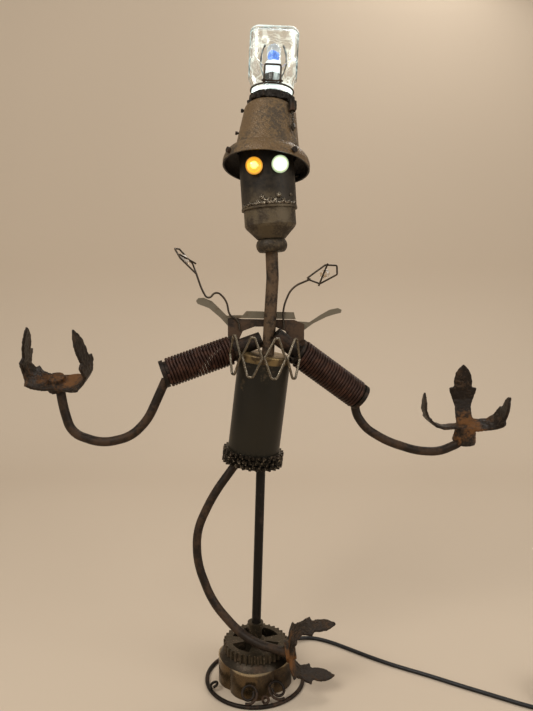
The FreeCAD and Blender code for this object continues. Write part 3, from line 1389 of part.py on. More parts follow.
def make_cord():
    place = relief_place()
    way = cord_way()
    length = size("relief_length")
    flange = disc(size("relief_root"), 5.0, place)
    taper = Part.makeCone(size("relief_root"), size("relief_tip"), length - 5)
    taper.Placement = shift(place, z=5.0)
    inner_end = disc(1.7, 3.0, place)
    doc.recompute()
    solid("strain_relief", flange.fuse(taper).cut(inner_end))
    exit_point = place.multVec(vec(0, 0, length))
    radius = size("cord_radius")
    wound = LAYERS * SPIRAL + (LAYERS - 1) * CLIMB
    turns = wound + TAIL
    stations = [i * 0.25 for i in range(int(wound * 4) + 1)] + [wound + TAIL * k / 5 for k in range(1, 6)]
    first_way = (coil_point(1e-4) - coil_point(0)).normalize()
    coil_start = coil_point(0) - first_way * (2 * radius)
    route = [exit_point, exit_point + way * 15] + [vec(*p) for p in CORD_ROUTE] + [coil_start - first_way * 16, coil_start]
    wire, radii = rounded_wire(route)
    shape = pipe(wire, radius)
    expected = pi * radius ** 2 * wire.Length
    print("cord: length %.0f mm, volume %.4f of its section times its length" % (wire.Length, shape.Volume / expected))
    print("cord radii: " + " ".join("%.0f" % r for r in radii))
    runs = [(b - a).Length for a, b in zip(route, route[1:])]
    print("cord runs: " + " ".join("%.0f" % r for r in runs))
    solid("cord", shape)
    solid("cord_coil", wound_tube("cord_coil", coil_point, stations, radius, 2 * radius))
    last_way = (coil_point(turns + 1e-4) - coil_point(turns - 1e-4)).normalize()
    tail = coil_point(turns) + last_way * (2 * radius)
    lift = size("plug_height") / 2 - size("cord_radius")
    plug_place = along(tail + Z_AXIS * lift, last_way)
    shell = Part.makeBox(size("plug_width"), size("plug_height"), size("plug_length"),
                         vec(-size("plug_width") / 2, -size("plug_height") / 2, 0))
    tongue = Part.makeBox(size("plug_width") - 3, size("plug_height") - 3.5, size("plug_tongue"),
                          vec(-size("plug_width") / 2 + 1.5, -size("plug_height") / 2 + 1.75, size("plug_length")))
    shell = shell.makeChamfer(1.5, [e for e in shell.Edges if abs(e.tangentAt(e.FirstParameter).z) > 0.9])
    plug = shell.fuse(tongue)
    plug.Placement = plug_place
    solid("plug", plug)


make_base()
make_waist()
make_torso()
make_arms()
make_links()
make_shoulders()
make_antennae()
make_head()
make_hat()
make_crown()
make_jar()
make_wiring()
make_cord()
doc.recompute()

for item in doc.Objects:
    if "Invalid" in item.State or "Error" in item.State:
        raise RuntimeError("%s failed to build" % item.Label)
os.makedirs("parts", exist_ok=True)
for name, item in nodes.items():
    shape = item.Shape
    if shape.isNull() or not shape.isValid():
        raise RuntimeError("%s has no valid shape" % name)
    shape.exportStep("parts/%s.step" % name)
print("%d nodes" % len(nodes))
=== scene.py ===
from math import cos, pi, radians, sin, sqrt

import bmesh
import bpy
from mathutils import Matrix, Vector


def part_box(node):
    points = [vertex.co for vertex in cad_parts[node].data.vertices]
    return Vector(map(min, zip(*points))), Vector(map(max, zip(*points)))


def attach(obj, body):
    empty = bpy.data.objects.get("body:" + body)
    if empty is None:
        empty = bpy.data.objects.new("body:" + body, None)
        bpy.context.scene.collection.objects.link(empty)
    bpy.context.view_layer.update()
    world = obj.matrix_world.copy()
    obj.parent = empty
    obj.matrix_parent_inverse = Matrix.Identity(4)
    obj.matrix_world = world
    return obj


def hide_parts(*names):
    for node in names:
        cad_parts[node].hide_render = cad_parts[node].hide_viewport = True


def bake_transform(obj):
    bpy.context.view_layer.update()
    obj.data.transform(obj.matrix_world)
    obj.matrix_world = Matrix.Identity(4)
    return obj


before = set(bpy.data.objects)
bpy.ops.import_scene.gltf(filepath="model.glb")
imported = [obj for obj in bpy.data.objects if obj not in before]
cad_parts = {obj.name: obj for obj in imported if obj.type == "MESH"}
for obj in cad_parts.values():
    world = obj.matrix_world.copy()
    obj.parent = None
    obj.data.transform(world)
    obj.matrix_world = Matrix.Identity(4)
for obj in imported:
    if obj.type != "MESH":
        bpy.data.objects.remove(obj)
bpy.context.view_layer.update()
MM = 0.001

# Camera and studio
# The viewer stands 62 cm in front of the lamp, level with its neck, and looks slightly down. A tan paper
# sheet runs back under it and bends up behind, and three large soft lamps stand round it.

camera = bpy.data.objects.new("camera", bpy.data.cameras.new("camera"))
bpy.context.collection.objects.link(camera)
camera.location = (0.012, -0.620, 0.395)
camera.rotation_euler = (radians(85), 0, 0)
camera.data.sensor_width = 36
camera.data.lens = 31.39
camera.data.clip_start = 0.01
camera.data.clip_end = 20
bpy.context.scene.camera = camera


class Tone:
    """A number, colour or direction on its way through one material's nodes."""

    def __init__(self, tree, socket):
        self.tree = tree
        self.socket = socket

    def node(self, kind, settings, values, output=0):
        """A node of a kind: its settings are set first, then the values or links of its sockets."""
        made = self.tree.nodes.new("ShaderNode" + kind)
        for key, value in settings.items():
            if key == "stops":
                ramp = made.color_ramp
                while len(ramp.elements) < len(value):
                    ramp.elements.new(0.5)
                for element, (place, colour) in zip(ramp.elements, value):
                    element.position = place
                    element.color = (*colour, 1)
            else:
                setattr(made, key, value)
        for key, value in values.items():
            feed(self.tree, made.inputs[key], value)
        return Tone(self.tree, made.outputs[output])

    def maths(self, operation, *values):
        """A Math node on numbers, in their order."""
        return self.node("Math", {"operation": operation}, dict(enumerate(values)))

    def __add__(self, other):
        return self.maths("ADD", self, other)

    def __radd__(self, other):
        return self.maths("ADD", other, self)

    def __sub__(self, other):
        return self.maths("SUBTRACT", self, other)

    def __rsub__(self, other):
        return self.maths("SUBTRACT", other, self)

    def __mul__(self, other):
        return self.maths("MULTIPLY", self, other)

    def __rmul__(self, other):
        return self.maths("MULTIPLY", other, self)

    def __abs__(self):
        return self.maths("ABSOLUTE", self)

    def higher(self, other):
        """The greater of two numbers."""
        return self.maths("MAXIMUM", self, other)

    def between(self, low, high):
        """A smooth step from 0 at low to 1 at high."""
        return self.node("MapRange", {"interpolation_type": "SMOOTHSTEP"},
                         {0: self, 1: low, 2: high, 3: 0.0, 4: 1.0})

    def mixed(self, first, second):
        """From the first colour to the second as this number goes from 0 to 1."""
        return self.node("Mix", {"data_type": "RGBA"}, {0: self, 6: first, 7: second}, 2)


def feed(tree, socket, value):
    """Links a Tone to a socket, or sets the socket to a number, colour or direction."""
    if isinstance(value, Tone):
        tree.links.new(value.socket, socket)
    elif hasattr(value, "__len__") and len(value) == 3 and len(socket.default_value) == 4:
        socket.default_value = (*value, 1)
    else:
        socket.default_value = value


class Finish:
    """One material: its own surface shader, and patterns that are fixed to the object in metres."""

    def __init__(self, name, **fixed):
        self.material = bpy.data.materials.new(name)
        self.material.use_nodes = True
        self.tree = self.material.node_tree
        self.shader = self.tree.nodes["Principled BSDF"]
        place = self.tree.nodes.new("ShaderNodeTexCoord")
        self.place = Tone(self.tree, place.outputs["Object"])
        self.normal = Tone(self.tree, place.outputs["Normal"])
        self.set(**fixed)

    def set(self, **sockets):
        """Feeds the shader's sockets, with underscores for the spaces in their names."""
        for key, value in sockets.items():
            feed(self.tree, self.shader.inputs[key.replace("_", " ")], value)

    def noise(self, scale, detail=3.0, rough=0.55, where=None):
        """Cloudy noise with so many patches to the metre."""
        return self.place.node("TexNoise", {}, {"Vector": where or self.place, "Scale": scale,
                                                "Detail": detail, "Roughness": rough})

    def mapped(self, scale, shift=(0, 0, 0)):
        """Object coordinates drawn out or squeezed along each way, and then shifted."""
        return self.place.node("Mapping", {"vector_type": "POINT"},
                               {"Vector": self.place, "Location": shift, "Scale": scale})

    def along(self, axis):
        """How far a point lies along x, y or z, for an axis of 0, 1 or 2."""
        return self.place.node("SeparateXYZ", {}, {"Vector": self.place}, axis)

    def bump(self, height, depth):
        """Relief of so many metres."""
        self.set(Normal=self.place.node("Bump", {}, {"Height": height, "Distance": depth, "Strength": 1.0}))


def paint(piece, material):
    """Gives a whole piece one material."""
    for slot in piece.material_slots:
        slot.material = material
    if not piece.material_slots:
        piece.data.materials.append(material)


SHEET_FRONT, BEND_START, BEND_RADIUS, BEND_STEPS, SHEET_TOP, HALF_WIDTH = -2.2, 0.75, 0.5, 12, 3.2, 3.0
PAPER_TAN = (0.560, 0.462, 0.355)
bpy.ops.object.select_all(action="DESELECT")
bpy.ops.mesh.primitive_plane_add(size=1)
floor = bpy.context.object
floor.name = "floor"
sheet_mesh = bmesh.new()
profile = [(SHEET_FRONT, 0.0), (BEND_START, 0.0)]
for angle in [pi / 2 * k / BEND_STEPS for k in range(1, BEND_STEPS + 1)]:
    profile.append((BEND_START + BEND_RADIUS * sin(angle), BEND_RADIUS - BEND_RADIUS * cos(angle)))
profile.append((BEND_START + BEND_RADIUS, SHEET_TOP))
rows = [[sheet_mesh.verts.new((side * HALF_WIDTH, y, z)) for y, z in profile] for side in (-1, 1)]
for k in range(len(profile) - 1):
    sheet_mesh.faces.new((rows[0][k], rows[1][k], rows[1][k + 1], rows[0][k + 1]))
bmesh.ops.recalc_face_normals(sheet_mesh, faces=sheet_mesh.faces)
sheet_mesh.to_mesh(floor.data)
sheet_mesh.free()
floor.data.shade_smooth()
paper = Finish("pale_studio_paper", Roughness=0.9)
faint_clouds = paper.noise(1.3, 1.0).between(0.3, 0.7)
paper.set(Base_Color=faint_clouds.mixed(PAPER_TAN, [part * 0.965 for part in PAPER_TAN]))
paint(floor, paper.material)


def soft_lamp(name, place, aim, size, power, colour):
    """A large square lamp that faces the object."""
    lamp = bpy.data.objects.new(name, bpy.data.lights.new(name, "AREA"))
    bpy.context.collection.objects.link(lamp)
    lamp.location = place
    lamp.rotation_euler = (Vector(aim) - Vector(place)).to_track_quat("-Z", "Y").to_euler()
    lamp.data.size = size
    lamp.data.energy = power
    lamp.data.color = colour


WARM_WHITE, SOFT_WHITE = (1.0, 0.96, 0.90), (1.0, 0.98, 0.95)
soft_lamp("key_lamp", place=(-0.9, -1.1, 1.5), aim=(0, 0, 0.35), size=0.9, power=20, colour=WARM_WHITE)
soft_lamp("fill_lamp", place=(1.3, -0.9, 0.9), aim=(0, 0, 0.35), size=1.0, power=9, colour=SOFT_WHITE)
soft_lamp("back_lamp", place=(0.5, 1.0, 1.6), aim=(0, 0, 0.4), size=0.7, power=8, colour=SOFT_WHITE)
world = bpy.data.worlds.new("studio")
bpy.context.scene.world = world
world.use_nodes = True
world.node_tree.nodes["Background"].inputs["Color"].default_value = (*WARM_WHITE, 1)
world.node_tree.nodes["Background"].inputs["Strength"].default_value = 0.5
bpy.context.scene.view_settings.view_transform = "Standard"

# Power cord
# Black round flex, 4.2 mm thick and about 1.8 m long. It leaves the back of the cup through a rubber
# strain relief, crosses the wire ring, runs over the desk and is put away as a round coil with its plug.

CORD_RADIUS, CORD_HEIGHT = 2.1, 12.0  # millimetres, as the other lengths of the cord
RELIEF_LENGTH, RELIEF_INSET, STRAIGHT_OUT = 20.0, 3.0, 15
LOBE_OFFSET, LOBE_RADIUS, LOBE_TURN, CUP_WALL = 14, 24.3, -7, 1.8
relief_way = Vector((cos(radians(60)), sin(radians(60)), 0))


def cup_reach(way):
    """How far the inside of the four-lobed cup lies from its middle along a level heading."""
    inner_radius = LOBE_RADIUS - CUP_WALL
    best = 0
    for k in range(4):
        angle = radians(LOBE_TURN + 90 * k)
        centre = Vector((LOBE_OFFSET * cos(angle), LOBE_OFFSET * sin(angle), 0))
        ahead = centre.dot(way)
        best = max(best, ahead + sqrt(inner_radius ** 2 - (centre.length ** 2 - ahead ** 2)))
    return best


relief_start = relief_way * (cup_reach(relief_way) - RELIEF_INSET) + Vector((0, 0, CORD_HEIGHT))
cord_exit = relief_start + relief_way * RELIEF_LENGTH
route = [cord_exit, cord_exit + relief_way * STRAIGHT_OUT]
route += [Vector(p) for p in ((43, 68, 4.5), (63, 76.3, 2.1), (84, 67.5, 2.1), (107, 50.5, 2.1),
                              (130.5, 32.5, 2.1), (155, 16.6, 2.1), (182.8, 1.6, 2.1), (211, -16, 2.1),
                              (240, -32.6, 2.1), (268, -49, 2.1))]
COIL_X, COIL_Y, COIL_OUTER, COIL_START = 322.0, -42.0, 28.0, radians(-118.0)
TURN_STEP, LAYER_LIFT = 5.4, 4.8
SPIRAL, CLIMB, TAIL, LAYERS = 2.0, 0.5, 0.65, 4
TAIL_OUT, TAIL_DROP = 0.25, 0.1
STEPS_PER_TURN, LEAD_IN, NUDGE = 14, 20, 1e-4


def eased(share):
    share = min(max(share, 0.0), 1.0)
    return share * share * (3 - 2 * share)


def coil_point(turn):
    """The coil's own line, wound in and out over four layers."""
    layer = min(int(turn / (SPIRAL + CLIMB)), LAYERS - 1)
    rest = turn - layer * (SPIRAL + CLIMB)
    across = min(rest, SPIRAL) * TURN_STEP
    radius = COIL_OUTER - across if layer % 2 == 0 else COIL_OUTER - TURN_STEP * SPIRAL + across
    height = layer * LAYER_LIFT
    if rest > SPIRAL and layer < LAYERS - 1:
        height += LAYER_LIFT * (rest - SPIRAL) / CLIMB
    elif rest > SPIRAL:
        tail = rest - SPIRAL
        radius += 1.5 * TURN_STEP * eased(tail / TAIL_OUT)
        height *= 1 - eased((tail - TAIL_DROP) / (TAIL - TAIL_DROP))
    angle = COIL_START + 2 * pi * turn
    return Vector((COIL_X + radius * cos(angle), COIL_Y + radius * sin(angle), CORD_RADIUS + height))


turns = LAYERS * SPIRAL + (LAYERS - 1) * CLIMB + TAIL
first_heading = (coil_point(NUDGE) - coil_point(0)).normalized()
last_heading = (coil_point(turns + NUDGE) - coil_point(turns - NUDGE)).normalized()
route += [coil_point(0) - first_heading * LEAD_IN]
route += [coil_point(k / STEPS_PER_TURN) for k in range(int(turns * STEPS_PER_TURN))]
route += [coil_point(turns), coil_point(turns) + last_heading * (2 * CORD_RADIUS)]
cord_curve = bpy.data.curves.new("power_cord", "CURVE")
cord_curve.dimensions = "3D"
line = cord_curve.splines.new("NURBS")
line.points.add(len(route) - 1)
for point, place in zip(line.points, route):
    point.co = (*(place * MM), 1)
line.order_u = 3
line.use_endpoint_u = True
cord_curve.resolution_u = 6
cord_curve.bevel_depth = CORD_RADIUS * MM
cord_curve.bevel_resolution = 3
cord_curve.use_fill_caps = True
power_cord = bpy.data.objects.new("power_cord", cord_curve)
bpy.context.collection.objects.link(power_cord)
cord_rubber = Finish("cord_rubber", Specular_IOR_Level=0.3)
haze = cord_rubber.noise(240, 2)
cord_rubber.set(Roughness=haze.between(0.3, 0.75) * 0.22 + 0.34)
cord_rubber.set(Base_Color=haze.between(0.45, 0.8).mixed((0.0065, 0.0060, 0.0055), (0.016, 0.015, 0.014)))
paint(power_cord, cord_rubber.material)
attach(power_cord, "lamp")
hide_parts("cord", "cord_coil")
tuple(cord_exit * MM)


def dress(material, *nodes):
    """Gives CAD nodes, by name, one material."""
    for node in nodes:
        paint(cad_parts[node], material)


dress(cord_rubber.material, "strain_relief", "inner_wiring")

# Wire ring and scrolls
# A hoop of 4 mm rod that keeps the lamp from tipping, and four curls of thinner rod that tie it to the
# cup. All are mild steel, blackened by heat, with brown rust in the bends.


def iron(name, dark, rust, bright, patches=60, cover=0.5, rough=0.42, metal=0.7, relief=0.25, fleck=0.35,
         wear=0.62):
    """Weathered iron or steel: a dark skin, clouds of rust, and bright flecks that are partly rubbed metal
    and partly painted glints.

    It has so many patches to the metre and a relief in millimetres. A higher cover gives more rust, a higher
    fleck makes the bright flecks stronger, and a higher wear makes them rarer."""
    finish = Finish(name, Specular_IOR_Level=0.3)
    cloud = finish.noise(patches, 6, 0.62)
    fine = finish.noise(patches * 7, 4, 0.6)
    grit = finish.noise(1900, 2, 0.5)
    rusty = (cloud * 0.7 + fine * 0.3).between(0.62 - cover * 0.3, 0.78 - cover * 0.3)
    # Bright flecks: partly rubbed bare metal, partly painted glints.
    rubbed_and_glinting = (fine * 0.6 + grit * 0.4).between(wear, wear + 0.12) * fleck
    finish.set(Base_Color=rubbed_and_glinting.mixed(rusty.mixed(dark, rust), bright))
    finish.set(Roughness=(rusty * 0.24 + rough + fine * 0.12) - rubbed_and_glinting * 0.15)
    finish.set(Metallic=metal - rusty * metal * 0.75)
    finish.bump(fine * 0.5 + grit * 0.25 + rusty * 0.4, relief * MM)
    return finish.material


black_iron = iron("black_iron", dark=(0.017, 0.013, 0.010), rust=(0.048, 0.024, 0.012),
                  bright=(0.18, 0.14, 0.10))
dress(black_iron, "base_ring", "base_scrolls")

# Lobed cup, bottom plate and bell
# The foot is a cast brass handwheel cup, brown with age and glossy on its lobes, with a painted highlight in
# a band round its lip. A dark steel bell with a thick skirt closes it, and a plate fills its underside.

BRASS_BROWN, BRASS_BLACK, PAINTED_BRASS_HIGHLIGHT = (0.128, 0.084, 0.042), (0.026, 0.016, 0.009), (0.42, 0.34, 0.22)
aged_brass = Finish("aged_brass")
streak = aged_brass.noise(34, 5, 0.6, aged_brass.mapped((1, 1, 0.45)))
speck = aged_brass.noise(420, 3, 0.55)
tarnish = (streak * 0.75 + speck * 0.25).between(0.40, 0.66)
cup_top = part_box("base_cup")[1].z
# Painted highlight: a pale band just under the top of the lip, broken up by the tarnish.
painted_lip_highlight = aged_brass.along(2).between(cup_top - 0.0034, cup_top - 0.0014) * (1 - tarnish * 0.5)
aged_brass.set(Base_Color=painted_lip_highlight.mixed(tarnish.mixed(BRASS_BROWN, BRASS_BLACK), PAINTED_BRASS_HIGHLIGHT))
aged_brass.set(Roughness=0.22 + tarnish * 0.24, Metallic=0.85 - tarnish * 0.35)
aged_brass.bump(speck * 0.4 + streak * 0.6, 0.22 * MM)
dress(aged_brass.material, "base_cup")
dress(iron("bell_iron", dark=(0.030, 0.022, 0.014), rust=(0.050, 0.028, 0.014), bright=(0.34, 0.27, 0.18),
           patches=46, cover=0.45, rough=0.32, fleck=0.5, wear=0.58), "base_plate", "base_drum")

# Gear, collar and stem
# A wide steel gear lies on the bell, and a collar on its post grips the black gas pipe that carries the
# body.

dress(iron("gear_steel", dark=(0.048, 0.037, 0.023), rust=(0.060, 0.035, 0.018), bright=(0.42, 0.34, 0.23),
           patches=70, cover=0.4, rough=0.34, fleck=0.6, wear=0.56), "base_gear", "stem_collar")
dress(iron("pipe_black", dark=(0.010, 0.008, 0.006), rust=(0.026, 0.015, 0.009), bright=(0.11, 0.09, 0.07),
           patches=50, cover=0.3, rough=0.38, metal=0.5, relief=0.15), "stem")

# Waist sprockets
# Three hardened chain sprockets welded in a stack: nearly black, with bright flecks on the teeth that are
# partly worn metal and partly painted glints.

dress(iron("sprocket_steel", dark=(0.020, 0.016, 0.012), rust=(0.042, 0.025, 0.014),
           bright=(0.56, 0.47, 0.34), patches=90, cover=0.3, rough=0.30, metal=0.8, relief=0.3, fleck=0.85,
           wear=0.55),
      "waist_sprocket_lower", "waist_sprocket_middle", "waist_sprocket_upper")

# Torso tube and brass cap
# The body is a shock absorber's tube in worn olive-black paint, closed by a mottled brass cap.

olive_paint = Finish("olive_paint", Metallic=0.0, Specular_IOR_Level=0.22)
wear = olive_paint.noise(30, 6, 0.65, olive_paint.mapped((1, 1, 0.5)))
rub = olive_paint.noise(330, 3, 0.6)
bare = (wear * 0.65 + rub * 0.35).between(0.585, 0.66)
dull = olive_paint.noise(9, 2).between(0.35, 0.65).mixed((0.0085, 0.0068, 0.0038), (0.0140, 0.0108, 0.0058))
olive_paint.set(Base_Color=bare.mixed(dull, (0.050, 0.035, 0.019)), Roughness=0.34 + bare * 0.2 + rub * 0.08)
olive_paint.bump(wear * 0.5 + bare * -0.5, 0.15 * MM)
dress(olive_paint.material, "torso_tube")
cap_brass = Finish("cap_brass", Metallic=0.8)
blotch = cap_brass.noise(75, 5, 0.6)
cap_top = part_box("torso_cap")[1].z
seam = cap_brass.along(2).between(cap_top - 0.0135, cap_top - 0.0155)
mottled = blotch.between(0.42, 0.6).mixed((0.235, 0.160, 0.070), (0.050, 0.032, 0.017))
cap_brass.set(Base_Color=seam.mixed(mottled, (0.012, 0.009, 0.006)), Roughness=0.3 + blotch * 0.2)
cap_brass.bump(blotch, 0.2 * MM)
dress(cap_brass.material, "torso_cap")

# Neck
# A bent steel pipe 12.4 mm thick, brown with black patches where it was heated. It stands in the cap.

dress(iron("neck_pipe", dark=(0.018, 0.013, 0.009), rust=(0.088, 0.052, 0.026), bright=(0.24, 0.18, 0.11),
           patches=55, cover=0.7, rough=0.38, metal=0.6), "neck")

# Collar of wire links
# Four diamonds of light steel rod stand round the shoulders like a ruff. They are rubbed bright.

dress(iron("link_steel", dark=(0.120, 0.098, 0.068), rust=(0.070, 0.046, 0.024), bright=(0.66, 0.58, 0.46),
           patches=120, cover=0.35, rough=0.26, metal=0.9, relief=0.12, fleck=0.7, wear=0.53), "ruff")

# Sheet steel at the shoulders
# A brown plate with an arched underside carries a thin grey strip and two wings cut from old sheet.

dress(iron("yoke_steel", dark=(0.024, 0.016, 0.011), rust=(0.066, 0.037, 0.020), bright=(0.18, 0.14, 0.09),
           patches=40, cover=0.7, rough=0.48, metal=0.4), "shoulder_yoke")
dress(iron("wing_sheet", dark=(0.175, 0.148, 0.106), rust=(0.105, 0.072, 0.041), bright=(0.38, 0.33, 0.26),
           patches=38, cover=0.45, rough=0.40, metal=0.65, relief=0.15),
      "shoulder_plate", "left_wing", "right_wing")

# Shoulder lugs and elbows
# Turned plugs of black steel hold the springs, and a flange on each is welded to the arm's bar.

dress(black_iron, "shoulder_lugs", "left_elbow", "right_elbow")

# Arm springs
# Coil springs of 2.9 mm wire with nearly closed turns, dark red-brown with rust, with small white glints.
# They carry the arms.

spring_steel = iron("spring_steel", dark=(0.024, 0.0095, 0.0055), rust=(0.052, 0.0185, 0.0085),
                    bright=(0.55, 0.42, 0.32), patches=150, cover=0.55, rough=0.36, metal=0.5, relief=0.12,
                    fleck=0.5, wear=0.66)
WIRE, SPRING_RADIUS, END_GAP = 1.47, 13.2, 0.3  # millimetres
SAME_POINT = 0.00001  # metres


def coil_spring(name, start, end, turns):
    """A ring of wire wound up by Screw, then laid between the shoulder and the elbow."""
    start, end = Vector(start), Vector(end)
    length = (end - start).length
    pitch = (length - 2 * WIRE - 2 * END_GAP) / turns
    bpy.ops.object.select_all(action="DESELECT")
    bpy.ops.mesh.primitive_circle_add(vertices=12, radius=WIRE * MM, rotation=(pi / 2, 0, 0),
                                      location=(SPRING_RADIUS * MM, 0, (WIRE + END_GAP) * MM))
    piece = bpy.context.object
    piece.name = name
    bpy.ops.object.transform_apply(location=True, rotation=True, scale=True)
    screw = piece.modifiers.new("wind", "SCREW")
    screw.screw_offset = pitch * MM
    screw.iterations = turns
    screw.steps = 28
    screw.render_steps = 28
    bpy.ops.object.modifier_apply(modifier="wind")
    bpy.ops.object.mode_set(mode="EDIT")
    bpy.ops.mesh.select_all(action="SELECT")
    bpy.ops.mesh.remove_doubles(threshold=SAME_POINT)
    bpy.ops.mesh.select_all(action="DESELECT")
    bpy.ops.mesh.select_non_manifold()
    bpy.ops.mesh.edge_face_add()
    bpy.ops.mesh.select_all(action="SELECT")
    bpy.ops.mesh.normals_make_consistent(inside=False)
    bpy.ops.object.mode_set(mode="OBJECT")
    way = (end - start).normalized()
    across = Vector((0, 0, 1)).cross(way).normalized()
    turn = Matrix((across, way.cross(across), way)).transposed().to_4x4()
    piece.data.transform(Matrix.Translation(start * MM) @ turn)
    piece.data.shade_smooth()
    paint(piece, spring_steel)
    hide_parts(name.replace("wound_", ""))
    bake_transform(piece)


coil_spring("wound_left_spring", (-21.7, -3.0, 347.0), (-86.2, -15.0, 324.6), 21)
coil_spring("wound_right_spring", (44.3, -3.0, 344.1), (106.0, 12.0, 298.4), 24)

# Limbs
# Forearms and leg are round bar about 9 mm thick, bent by hand: dark brown mill scale with clouds of rust.

dress(iron("limb_bar", dark=(0.017, 0.011, 0.007), rust=(0.046, 0.024, 0.011), bright=(0.17, 0.12, 0.07),
           patches=48, cover=0.6, rough=0.40, metal=0.45, relief=0.3),
      "left_forearm", "right_forearm", "leg")

# Hands and foot
# Cast iron leaves from an old railing: rough from the sand mould, dark brown, with orange rust on the palms.

IRON_BROWN, LEAF_RUST, PALM_ORANGE = (0.017, 0.011, 0.007), (0.046, 0.024, 0.010), (0.125, 0.050, 0.012)
PALMS = (((-0.192, -0.020, 0.312), 0.030), ((0.218, 0.014, 0.259), 0.024), ((0.036, -0.028, 0.047), 0.020))
leaf_iron = Finish("leaf_iron", Specular_IOR_Level=0.3)
bloom = leaf_iron.noise(48, 6, 0.62)
sand = leaf_iron.noise(340, 4, 0.6)
grit = leaf_iron.noise(1500, 2, 0.5)
palms = 0.0
for middle, reach in PALMS:
    away = leaf_iron.place.node("VectorMath", {"operation": "DISTANCE"}, {0: leaf_iron.place, 1: middle},
                                "Value")
    palms = away.between(reach * 1.5, reach * 0.55) + palms
rusty = (bloom * 0.6 + sand * 0.4 + palms * 0.065).between(0.50, 0.64)
orange = (palms * bloom.between(0.40, 0.62)).mixed(LEAF_RUST, PALM_ORANGE)
glint = (sand * 0.5 + grit * 0.5).between(0.60, 0.70)
leaf_iron.set(Base_Color=glint.mixed(rusty.mixed(IRON_BROWN, orange), (0.120, 0.078, 0.042)))
leaf_iron.set(Roughness=rusty * 0.25 + 0.46, Metallic=0.4 - rusty * 0.35)
leaf_iron.bump(sand * 0.5 + grit * 0.3 + rusty * 0.4, 0.7 * MM)


def rough_copy(node, body, material, voxel, relief, patches):
    """A node's solid, remeshed evenly, softened and roughened like a sand casting or a weld.

    The voxel, the relief and the size of its patches are in millimetres."""
    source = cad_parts[node]
    piece = bpy.data.objects.new("cast_" + node, source.data.copy())
    bpy.context.collection.objects.link(piece)
    bpy.ops.object.select_all(action="DESELECT")
    piece.select_set(True)
    bpy.context.view_layer.objects.active = piece
    bpy.ops.object.mode_set(mode="EDIT")
    bpy.ops.mesh.select_all(action="SELECT")
    bpy.ops.mesh.remove_doubles(threshold=SAME_POINT)
    bpy.ops.object.mode_set(mode="OBJECT")
    remesh = piece.modifiers.new("even", "REMESH")
    remesh.mode = "VOXEL"
    remesh.voxel_size = voxel * MM
    soften = piece.modifiers.new("soften", "SMOOTH")
    soften.factor = 0.5
    soften.iterations = 2
    skin = bpy.data.textures.new(node + "_skin", "CLOUDS")
    skin.noise_scale = patches * MM
    skin.noise_depth = 2
    rough = piece.modifiers.new("rough", "DISPLACE")
    rough.texture = skin
    rough.texture_coords = "LOCAL"
    rough.strength = relief * MM
    rough.mid_level = 0.5
    for name in ("even", "soften", "rough"):
        bpy.ops.object.modifier_apply(modifier=name)
    piece.data.shade_smooth()
    paint(piece, material)
    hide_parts(node)
    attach(piece, body)


for node, body in (("left_hand", "left_arm"), ("right_hand", "right_arm"), ("foot", "lamp")):
    rough_copy(node, body, leaf_iron.material, voxel=0.8, relief=1.1, patches=3.5)

# Antennae
# Springy steel wires in waves, each with a bent wire frame at its tip that holds a pale rough stone.

antenna_wire = iron("antenna_wire", dark=(0.046, 0.036, 0.026), rust=(0.072, 0.045, 0.024),
                    bright=(0.30, 0.25, 0.18), patches=160, cover=0.4, rough=0.32, metal=0.75, relief=0.08)
dress(antenna_wire, "left_antenna", "right_antenna", "left_setting", "right_setting")
quartz = Finish("quartz", Roughness=0.22, Transmission_Weight=0.45, IOR=1.5)
vein = quartz.noise(260, 4, 0.6)
quartz.set(Base_Color=vein.between(0.4, 0.65).mixed((0.82, 0.78, 0.72), (0.52, 0.38, 0.24)))
quartz.bump(vein, 0.6 * MM)
dress(quartz.material, "crystals")

# Head
# Collar and bowl are a spun steel fitting with a chalky grey-tan patina. The can above them is blackened by
# heat near the eyes, and a lumpy weld makes the mouth.

dress(iron("patina", dark=(0.098, 0.073, 0.042), rust=(0.034, 0.023, 0.013), bright=(0.24, 0.19, 0.12),
           patches=52, cover=0.6, rough=0.44, metal=0.35, relief=0.6, fleck=0.55, wear=0.57), "head_bowl")
dress(iron("collar_steel", dark=(0.030, 0.022, 0.014), rust=(0.075, 0.052, 0.028), bright=(0.26, 0.21, 0.13),
           cover=0.6, rough=0.40, metal=0.4, relief=0.5, fleck=0.5, wear=0.58), "head_collar")
TAN_END, TAN_START, SOOT_DRIFT = 0.505, 0.486, 0.05  # metres up the lamp
can_steel = Finish("can_steel", Metallic=0.35, Specular_IOR_Level=0.3)
soot = can_steel.noise(36, 6, 0.65)
scab = can_steel.noise(260, 3, 0.6)
tan_low = (can_steel.along(2) + (soot - 0.5) * SOOT_DRIFT).between(TAN_END, TAN_START)
burnt = (soot * 0.7 + scab * 0.3).between(0.42, 0.62).mixed((0.009, 0.007, 0.005), (0.030, 0.022, 0.014))
tan = (soot * 0.6 + scab * 0.4).between(0.40, 0.62).mixed((0.082, 0.062, 0.037), (0.032, 0.023, 0.014))
can_steel.set(Base_Color=tan_low.mixed(burnt, tan), Roughness=0.42 + scab * 0.2)
can_steel.bump(soot * 0.6 + scab * 0.4, 0.4 * MM)
dress(can_steel.material, "head_can")
# The weld's bright flecks are partly painted glints.
weld_steel = iron("weld_steel", dark=(0.030, 0.022, 0.015), rust=(0.085, 0.055, 0.030),
                  bright=(0.70, 0.62, 0.48), patches=130, rough=0.28, metal=0.8, relief=0.5, fleck=0.9,
                  wear=0.50)
rough_copy("mouth_weld", "lamp", weld_steel, voxel=0.45, relief=0.6, patches=1.8)

# Eyes
# Two pilot lamps, one amber and one white, in nickelled bezels 16 mm wide. Both are lit, and a painted glow
# from each lens lies on the bezels round it.

LENS_EDGE, GLOW_EDGE, GLOW_ROOT = 0.0068, 0.0100, 0.0066  # metres from an eye's middle


def middle_of(node):
    """The middle of a node's box."""
    low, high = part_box(node)
    return (low + high) / 2


